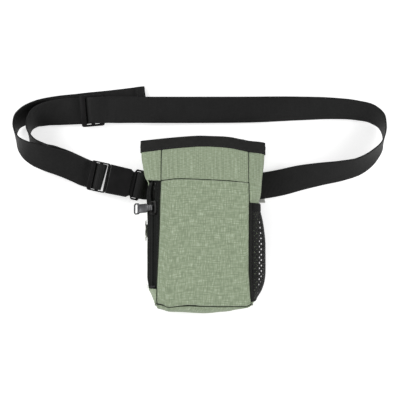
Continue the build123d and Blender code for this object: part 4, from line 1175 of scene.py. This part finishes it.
def tape_grid(side):
    """One tape: its raised inner edge, its flat and the edge that is sewn in."""
    along = between(ZIP_LOW, ZIP_HIGH, shares(100, 1.6))
    gap, bow, tuck = zip_gap(along), zip_bow(along), zip_tuck(along)
    lift = 0.35 * np.clip(gap - 0.2, 0, 2)
    keys = [(gap, -0.1 + lift), (gap + 0.35, 0.42 + lift), (gap + 1.2, 0.5 + lift),
            (gap + 2.1, 0.12 + lift / 2)]
    if side > 0:
        keys += [(4.8 + bow * 0.6, 0.1 + lift / 3), (6.7 + bow - 0.6 * tuck, 0.15 - 0.4 * tuck),
                 (8.2 + bow - 1.7 * tuck, -0.5 - 0.8 * tuck),
                 (8.8 + bow * 0.8 - 2.0 * tuck, -2.6 - 0.6 * tuck)]
    else:
        keys += [(4.6, 0.0), (6.0, -0.2), (6.9, -0.7), (7.4, -1.7)]
    points = through(np.stack([zip_point(along, side * c, h) for c, h in keys], 1), shares(9.5, 0.7))
    return points[:, ::-1] if side > 0 else points


ZIP_SIDES = ((1, "rear"), (-1, "front"))
for side, word in ZIP_SIDES:
    grid = sewn(tape_grid(side), {"b": 0.5, "t": 0.6}, seed=31 + side, waves=0.08, wave_length=14)
    tape = cloth(f"{word}_zip_tape", grid, 0.8, zip_weave, zip_weave)
    dress(tape, "pouch", [f"zip_tape_{word}"])

# %% Zip coils and stitches
COIL_PITCH = 1.25
COIL_RADIUS = 0.55


def coil(side):
    """A spiral of nylon along the hidden side of a tape's inner edge."""
    along = np.arange(ZIP_LOW + 3, ZIP_HIGH - 6, COIL_PITCH / 8)
    turn = 2 * pi * along / COIL_PITCH
    middle = zip_gap(along) + 0.75
    across = side * (middle + COIL_RADIUS * 1.2 * np.cos(turn))
    return zip_point(along, across, -1.45 + COIL_RADIUS * np.sin(turn))


for side, word in ZIP_SIDES:
    spiral = wire(f"{word}_coil_spiral", [coil(side)], 0.24, coil_nylon)
    dress(spiral, "pouch", [f"zip_coil_{word}"])
    seam_along = np.linspace(ZIP_LOW + 1, ZIP_HIGH - 1, 80)
    line = zip_point(seam_along, side * (4.6 + 0.6 * zip_bow(seam_along) * (side > 0)), 0.05)
    sewing = stitches(f"{word}_zip_stitches", line, zip_normal, black_thread, length=2.0, gap=0.9,
                      radius=0.16)
    dress(sewing, "pouch")

# %% [markdown]
# ## Hard pieces
# The buckle, the slide adjuster, the slider, its pull and the eyelet keep the solids' exact shapes.
# A solid's edges are knife sharp, though, and no moulding or casting is, so each gets a copy with
# narrow rounded edges, which catch the light the way the real ones do.

# %% Softened copies
EYELET_SWELL = (-1.1, 0, 0)


def softened(node, width, material, body, shift=(0, 0, 0)):
    """A copy of a solid with its edges rounded, standing for the solid."""
    piece = linked(f"{node}_finished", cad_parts[node].data.copy())
    work = bmesh.new()
    work.from_mesh(piece.data)
    bmesh.ops.remove_doubles(work, verts=work.verts, dist=0.00001)
    bmesh.ops.dissolve_limit(work, angle_limit=radians(0.5), verts=work.verts, edges=work.edges)
    bmesh.ops.recalc_face_normals(work, faces=work.faces)
    bmesh.ops.translate(work, verts=work.verts, vec=Vector(shift) * MM)
    work.to_mesh(piece.data)
    work.free()
    edge = piece.modifiers.new("soft edges", "BEVEL")
    edge.width, edge.segments = width * MM, 2
    edge.limit_method, edge.angle_limit = "ANGLE", radians(28)
    edge.use_clamp_overlap = True
    apply_modifiers(piece)
    piece.data.materials.clear()
    piece.data.materials.append(material)
    piece.data.shade_smooth()
    piece.data.set_sharp_from_angle(angle=radians(35))
    dress(piece, body, [node])


for node, width, body in (("buckle_male", 0.45, "belt"), ("buckle_arm_upper", 0.4, "arm_upper"),
                          ("buckle_arm_lower", 0.4, "arm_lower"), ("buckle_female", 0.45, "pouch"),
                          ("tri_glide", 0.5, "belt")):
    softened(node, width, satin_plastic, body)
softened("zip_slider", 0.3, slider_paint, "slider")
softened("zip_pull", 0.22, pull_metal, "pull")
softened("zip_stops", 0.2, coil_nylon, "pouch")
for node in ("eyelet_ring", "eyelet_washer"):
    softened(node, 0.15, eyelet_nickel, "pouch", EYELET_SWELL)
print("the eyelet sits", -EYELET_SWELL[0], "mm out, on the cloth's swell")

# %% [markdown]
# ## Webbing
# The belt is one flat strap. It comes out of the sleeve behind the pouch, makes a wide loop, weaves
# through the slide adjuster and the buckle, and comes back over itself to a hemmed tail. Its places
# and the way its upper edge leans are listed below, and the strap is a smooth ribbon through them.

# %% Belt route
# Each row: the middle line's x, y and z, then the upper edge's turn and lean in degrees.
belt_route = [
    (30.4, 36.4, 2.6, 90, 0), (55.1, 36.4, 2.6, 90, 0), (72.2, 39.3, 3.0, 100, 6),
    (91.2, 43.9, 5.0, 102, 18), (110.2, 47.4, 7.6, 100, 31), (129.2, 50.4, 10.2, 100, 41),
    (146.3, 55.2, 13.8, 100, 51), (159.5, 65.0, 17.3, 95, 58), (167.2, 75.5, 18.3, 90, 63),
    (169.5, 86.5, 15.8, 88, 62), (167.0, 96.5, 12.8, 85, 56), (158.5, 103.6, 11.6, 85, 50),
    (143.3, 107.4, 11.0, 88, 46), (121.5, 109.2, 9.6, 90, 40), (91.2, 109.3, 7.4, 90, 30),
    (43.7, 108.4, 4.7, 90, 14), (-3.8, 108.2, 3.6, 90, 6), (-41.8, 108.2, 4.0, 90, 2),
    (-72.0, 108.2, 4.2, 91, 0), (-84.5, 108.1, 4.4, 93, 0), (-91.0, 108.1, 6.5, 94, 0),
    (-95.5, 107.9, 6.9, 95, 0), (-105.5, 107.6, 6.9, 95, 0), (-107.9, 107.5, 6.6, 95, 0),
    (-109.0, 107.4, 5.6, 95, 0), (-110.3, 107.3, 3.6, 95, 0), (-111.4, 107.2, 2.8, 95, 0),
    (-114.0, 107.2, 2.6, 94, 0), (-120.5, 107.0, 2.6, 92, 0),
    (-134.9, 106.0, 5.3, 90, 14), (-149.2, 104.0, 9.4, 92, 30), (-159.2, 100.0, 12.8, 95, 46),
    (-164.0, 93.5, 15.3, 95, 58), (-164.8, 86.0, 16.8, 95, 62), (-161.5, 78.4, 18.0, 90, 60),
    (-153.9, 70.3, 16.5, 78, 50), (-142.5, 63.3, 11.2, 71, 30), (-131.0, 57.6, 6.0, 71, 12),
    (-120.0, 52.3, 2.2, 76, 2), (-112.0, 48.8, 1.5, 77.8, 0), (-104.0, 45.9, 1.5, 77.8, 0),
    (-97.6, 44.5, 1.6, 76.6, 0), (-95.7, 44.1, 2.5, 74.6, 0), (-95.1, 44.0, 4.6, 74.0, 0),
    (-95.8, 44.2, 6.6, 74.6, 0), (-98.0, 44.6, 7.6, 76.6, 0), (-100.6, 45.1, 7.5, 77.8, 0),
    (-102.5, 45.5, 6.4, 77.8, 0), (-103.6, 45.8, 4.6, 77.8, 0), (-105.2, 46.2, 3.6, 77.8, 0),
    (-108.0, 46.9, 3.4, 77.8, 0), (-112.5, 48.2, 3.4, 77, 0), (-119.0, 51.2, 5.2, 76, 4),
    (-132.1, 56.6, 10.7, 75, 13), (-146.3, 61.2, 16.2, 76, 21), (-157.7, 65.4, 18.6, 79, 32),
    (-167.7, 71.0, 19.6, 84, 47), (-174.8, 78.5, 19.0, 89, 60), (-177.8, 88.5, 15.5, 93, 63),
    (-175.8, 96.4, 12.9, 98, 59), (-169.0, 102.2, 10.6, 102, 50), (-158.8, 105.7, 7.8, 102, 34),
    (-147.0, 107.8, 5.1, 102, 19), (-135.0, 109.5, 2.8, 101, 9), (-122.0, 111.0, 1.0, 99, 0),
    (-108.0, 112.6, 0.8, 97, 0), (-94.3, 113.9, 0.8, 96, 0), (-55.2, 118.5, 0.8, 96, 0),
]
tab_route = [
    (-12.0, 36.4, 1.8, 90, 0), (-44.0, 36.3, 1.8, 88, 0), (-52.0, 35.6, 1.8, 83, 0),
    (-58.8, 36.1, 2.2, 77.8, 0), (-62.6, 36.9, 2.1, 77.8, 0), (-65.0, 37.4, 2.9, 77.8, 0),
    (-65.8, 37.5, 4.7, 77.8, 0), (-65.0, 37.4, 6.5, 77.8, 0), (-62.6, 36.9, 7.3, 77.8, 0),
    (-59.1, 36.1, 7.2, 77.8, 0), (-57.9, 35.9, 6.6, 79, 0), (-57.0, 35.7, 4.6, 82, 0),
    (-56.0, 35.6, 3.5, 85, 0), (-44.0, 36.3, 3.4, 88, 0), (-14.0, 36.4, 3.4, 90, 0),
]
WEBBING_HALF = 12.5
WEBBING_THICK = 1.2


def leaning(turn, lean):
    """The direction of a strap's upper edge, from its compass turn and its lean from flat."""
    turn, lean = np.radians(turn), np.radians(lean)
    return np.stack([np.cos(turn) * np.cos(lean), np.sin(turn) * np.cos(lean), np.sin(lean)], -1)


def ribbon(route, step):
    """The middle line of a smooth strap along a route, and the direction of its upper edge."""
    route = np.array(route, float)
    length = run(route[None, :, :3], 1)[0, -1]
    both = np.concatenate([route[:, :3], leaning(route[:, 3], route[:, 4])], 1)
    points = through(both, np.linspace(0, 1, int(length / step)), round_turns=True)
    return points[:, :3], points[:, 3:]


def strap(name, line, upper, nodes, bends=None):
    """A length of webbing: flat faces, and rounded selvedges a little thinner than the middle."""
    along = np.gradient(line, axis=0)
    along /= np.linalg.norm(along, axis=-1, keepdims=True)
    side = upper - along * np.sum(upper * along, -1, keepdims=True)
    side /= np.linalg.norm(side, axis=-1, keepdims=True)
    normal = np.cross(along, side)
    places = np.array([-1, -0.985, -0.93, -0.75, -0.5, -0.25, 0, 0.25, 0.5, 0.75, 0.93, 0.985, 1])
    swell = np.array([0.0, 0.7, 1.0, 0.94, 1.0, 0.96, 1.0, 0.96, 1.0, 0.94, 1.0, 0.7, 0.0])
    height = swell * WEBBING_THICK / 2
    ring = list(zip(places, height)) + list(zip(places[-2:0:-1], -height[-2:0:-1]))
    rings = np.stack([line + side * p * WEBBING_HALF + normal * h for p, h in ring], 1)
    dress(tube(name, rings, webbing_weave, sharp=60), "pouch", nodes, bends)


# %% Belt, tail and tab
belt_bend = ("pouch", "belt", Vector((0.055, 0.036, 0)), Vector((-0.06, 0.036, 0)))
belt_line, belt_upper = ribbon(belt_route, 1.6)
strap("belt_strap", belt_line, belt_upper, ["belt_webbing"], belt_bend)
print("belt", round(run(belt_line[None], 1)[0, -1]), "mm long")
strap("buckle_tab", *ribbon(tab_route, 0.8), ["female_tab"])

tail_end, tail_back = np.array(belt_route[-1][:3]), np.array(belt_route[-2][:3])
tail_along = (tail_end - tail_back) / np.linalg.norm(tail_end - tail_back)
tail_across = leaning(96, 0)
hem_line = tail_end + tail_along * np.array([[-9.2], [-8.4], [-6], [-3], [-0.8], [0.1]]) + [0, 0, 1.35]
strap("belt_tail_hem", hem_line, tail_across, ["tail_hem"], belt_bend)
for word, place in (("inner", -7.4), ("outer", -1.6)):
    across = tail_end + tail_along * place + tail_across * np.linspace(-11, 11, 24)[:, None] + [0, 0, 1.98]
    sewing = stitches(f"{word}_hem_stitches", across, (0, 0, 1), black_thread, length=1.8, gap=0.8)
    dress(sewing, bends=belt_bend)

# %% [markdown]
# ## Back patch and loose threads
# A pale patch is sewn on the back to make the belt's sleeve, and one end of it shows beside the
# pouch. It is a flat sheet whose long edges rise to the back panel where they are sewn. Where the
# zip starts, the ends of its sewing thread are left long.

# %% Back patch
patch_low, patch_high = box_mm("back_patch")
patch_share = shares(patch_high[1] - patch_low[1] + 8, 2.0)
profile = through([(0, 4.3), (0.3, 2.6), (1.3, 0.7), (3.5, 0.15), (12, 0.1), (22, 0.1), (33, 0.1),
                   (41.4, 0.15), (43.6, 0.7), (44.6, 2.6), (44.9, 4.3)], patch_share)
patch_up, patch_z = profile[:, :1], profile[:, 1:]
patch_x = np.linspace(patch_high[0], patch_low[0], 56)
lean_in = (1.0 + 0.09 * patch_up) * (patch_x > 0) * patch_x / patch_high[0]
patch_grid = xyz(patch_x - lean_in, patch_low[1] + patch_up, patch_z)
panel("back_patch_cloth", patch_grid, patch_grid, ["back_patch"], "laid", 0.9, patch_cloth,
      patch_cloth)
for word, row in (("low", 4.1), ("high", 40.8)):
    line = xyz(np.linspace(56.5, -49.5, 60) - 0.07 * row, patch_low[1] + row, 0.4)
    sewing = stitches(f"{word}_patch_stitches", line, (0, 0, -1), black_thread, length=2.4, gap=1.1, lift=0.1)
    dress(sewing, "pouch")

# %% Thread ends at the foot of the zip
ends = ([(-50.6, -57.6, 27.0), (-52.3, -57.0, 27.6), (-53.6, -56.2, 27.4), (-54.3, -55.0, 26.6)],
        [(-50.6, -57.9, 27.0), (-52.6, -57.9, 27.9), (-54.0, -58.2, 27.3), (-54.6, -59.0, 26.0)],
        [(-50.6, -58.2, 27.0), (-52.4, -58.6, 27.2), (-53.2, -59.6, 26.6), (-53.2, -60.8, 25.8)])
strands = [through(end, np.linspace(0, 1, 9), round_turns=True) for end in ends]
dress(wire("zip_thread_ends", strands, 0.14, sage_thread), "pouch")

# %% [markdown]
# ## Floor, light and camera
# The pouch lies on a pale table under broad soft lamps, seen from straight above. The floor is white
# for the camera and plain for everything else, so that it shows a soft shadow and doesn't glare.

# %% Stage
WHITE = (1, 1, 1, 1)
reach = 3.0
floor = linked("floor", bpy.data.meshes.new("floor"))
corners = [(-reach, -reach, 0), (reach, -reach, 0), (reach, reach, 0), (-reach, reach, 0)]
floor.data.from_pydata(corners, [], [(0, 1, 2, 3)])
floor.location.z = -0.0002
matte = {"Roughness": 0.9, "Specular IOR Level": 0.1, "Base Color": (0.8, 0.8, 0.8, 1),
         "Emission Color": WHITE}
pale, tree, shader = new_material("pale_floor", matte)
rays = tree.nodes.new("ShaderNodeLightPath").outputs
seen = calc(tree, "MAXIMUM", rays["Is Camera Ray"], rays["Is Glossy Ray"])
seen = calc(tree, "MAXIMUM", seen, rays["Is Transmission Ray"])
feed(tree, shader.inputs["Emission Strength"], calc(tree, "MULTIPLY", seen, 0.56))
floor.data.materials.append(pale)

world = bpy.data.worlds.new("studio")
world.use_nodes = True
tree = world.node_tree
backdrop = tree.nodes["Background"].inputs
backdrop["Color"].default_value = WHITE
rays = tree.nodes.new("ShaderNodeLightPath").outputs
feed(tree, backdrop["Strength"], calc(tree, "MAXIMUM", rays["Is Camera Ray"], 0.34))
bpy.context.scene.world = world


def lamp(name, place, size, power):
    """A round lamp that faces the pouch."""
    light = bpy.data.lights.new(name, "AREA")
    light.shape, light.size, light.energy = "DISK", size, power
    holder = linked(name, light)
    holder.location = place
    holder.rotation_mode = "QUATERNION"
    holder.rotation_quaternion = (-Vector(place)).to_track_quat("-Z", "Y")


lamp("key_lamp", (-1.1, 0.6, 0.65), 0.8, 11.3)
lamp("fill_lamp", (1.2, 0.1, 0.6), 0.9, 9.3)
lamp("low_lamp", (-0.2, -1.1, 0.6), 0.8, 5.2)

camera = linked("camera", bpy.data.cameras.new("camera"))
camera.data.lens, camera.data.sensor_width, camera.data.clip_end = 132.6, 36.0, 10.0
camera.location = (-0.0038, 0.0228, 1.4)
bpy.context.scene.camera = camera
bpy.context.scene.view_settings.view_transform = "Standard"
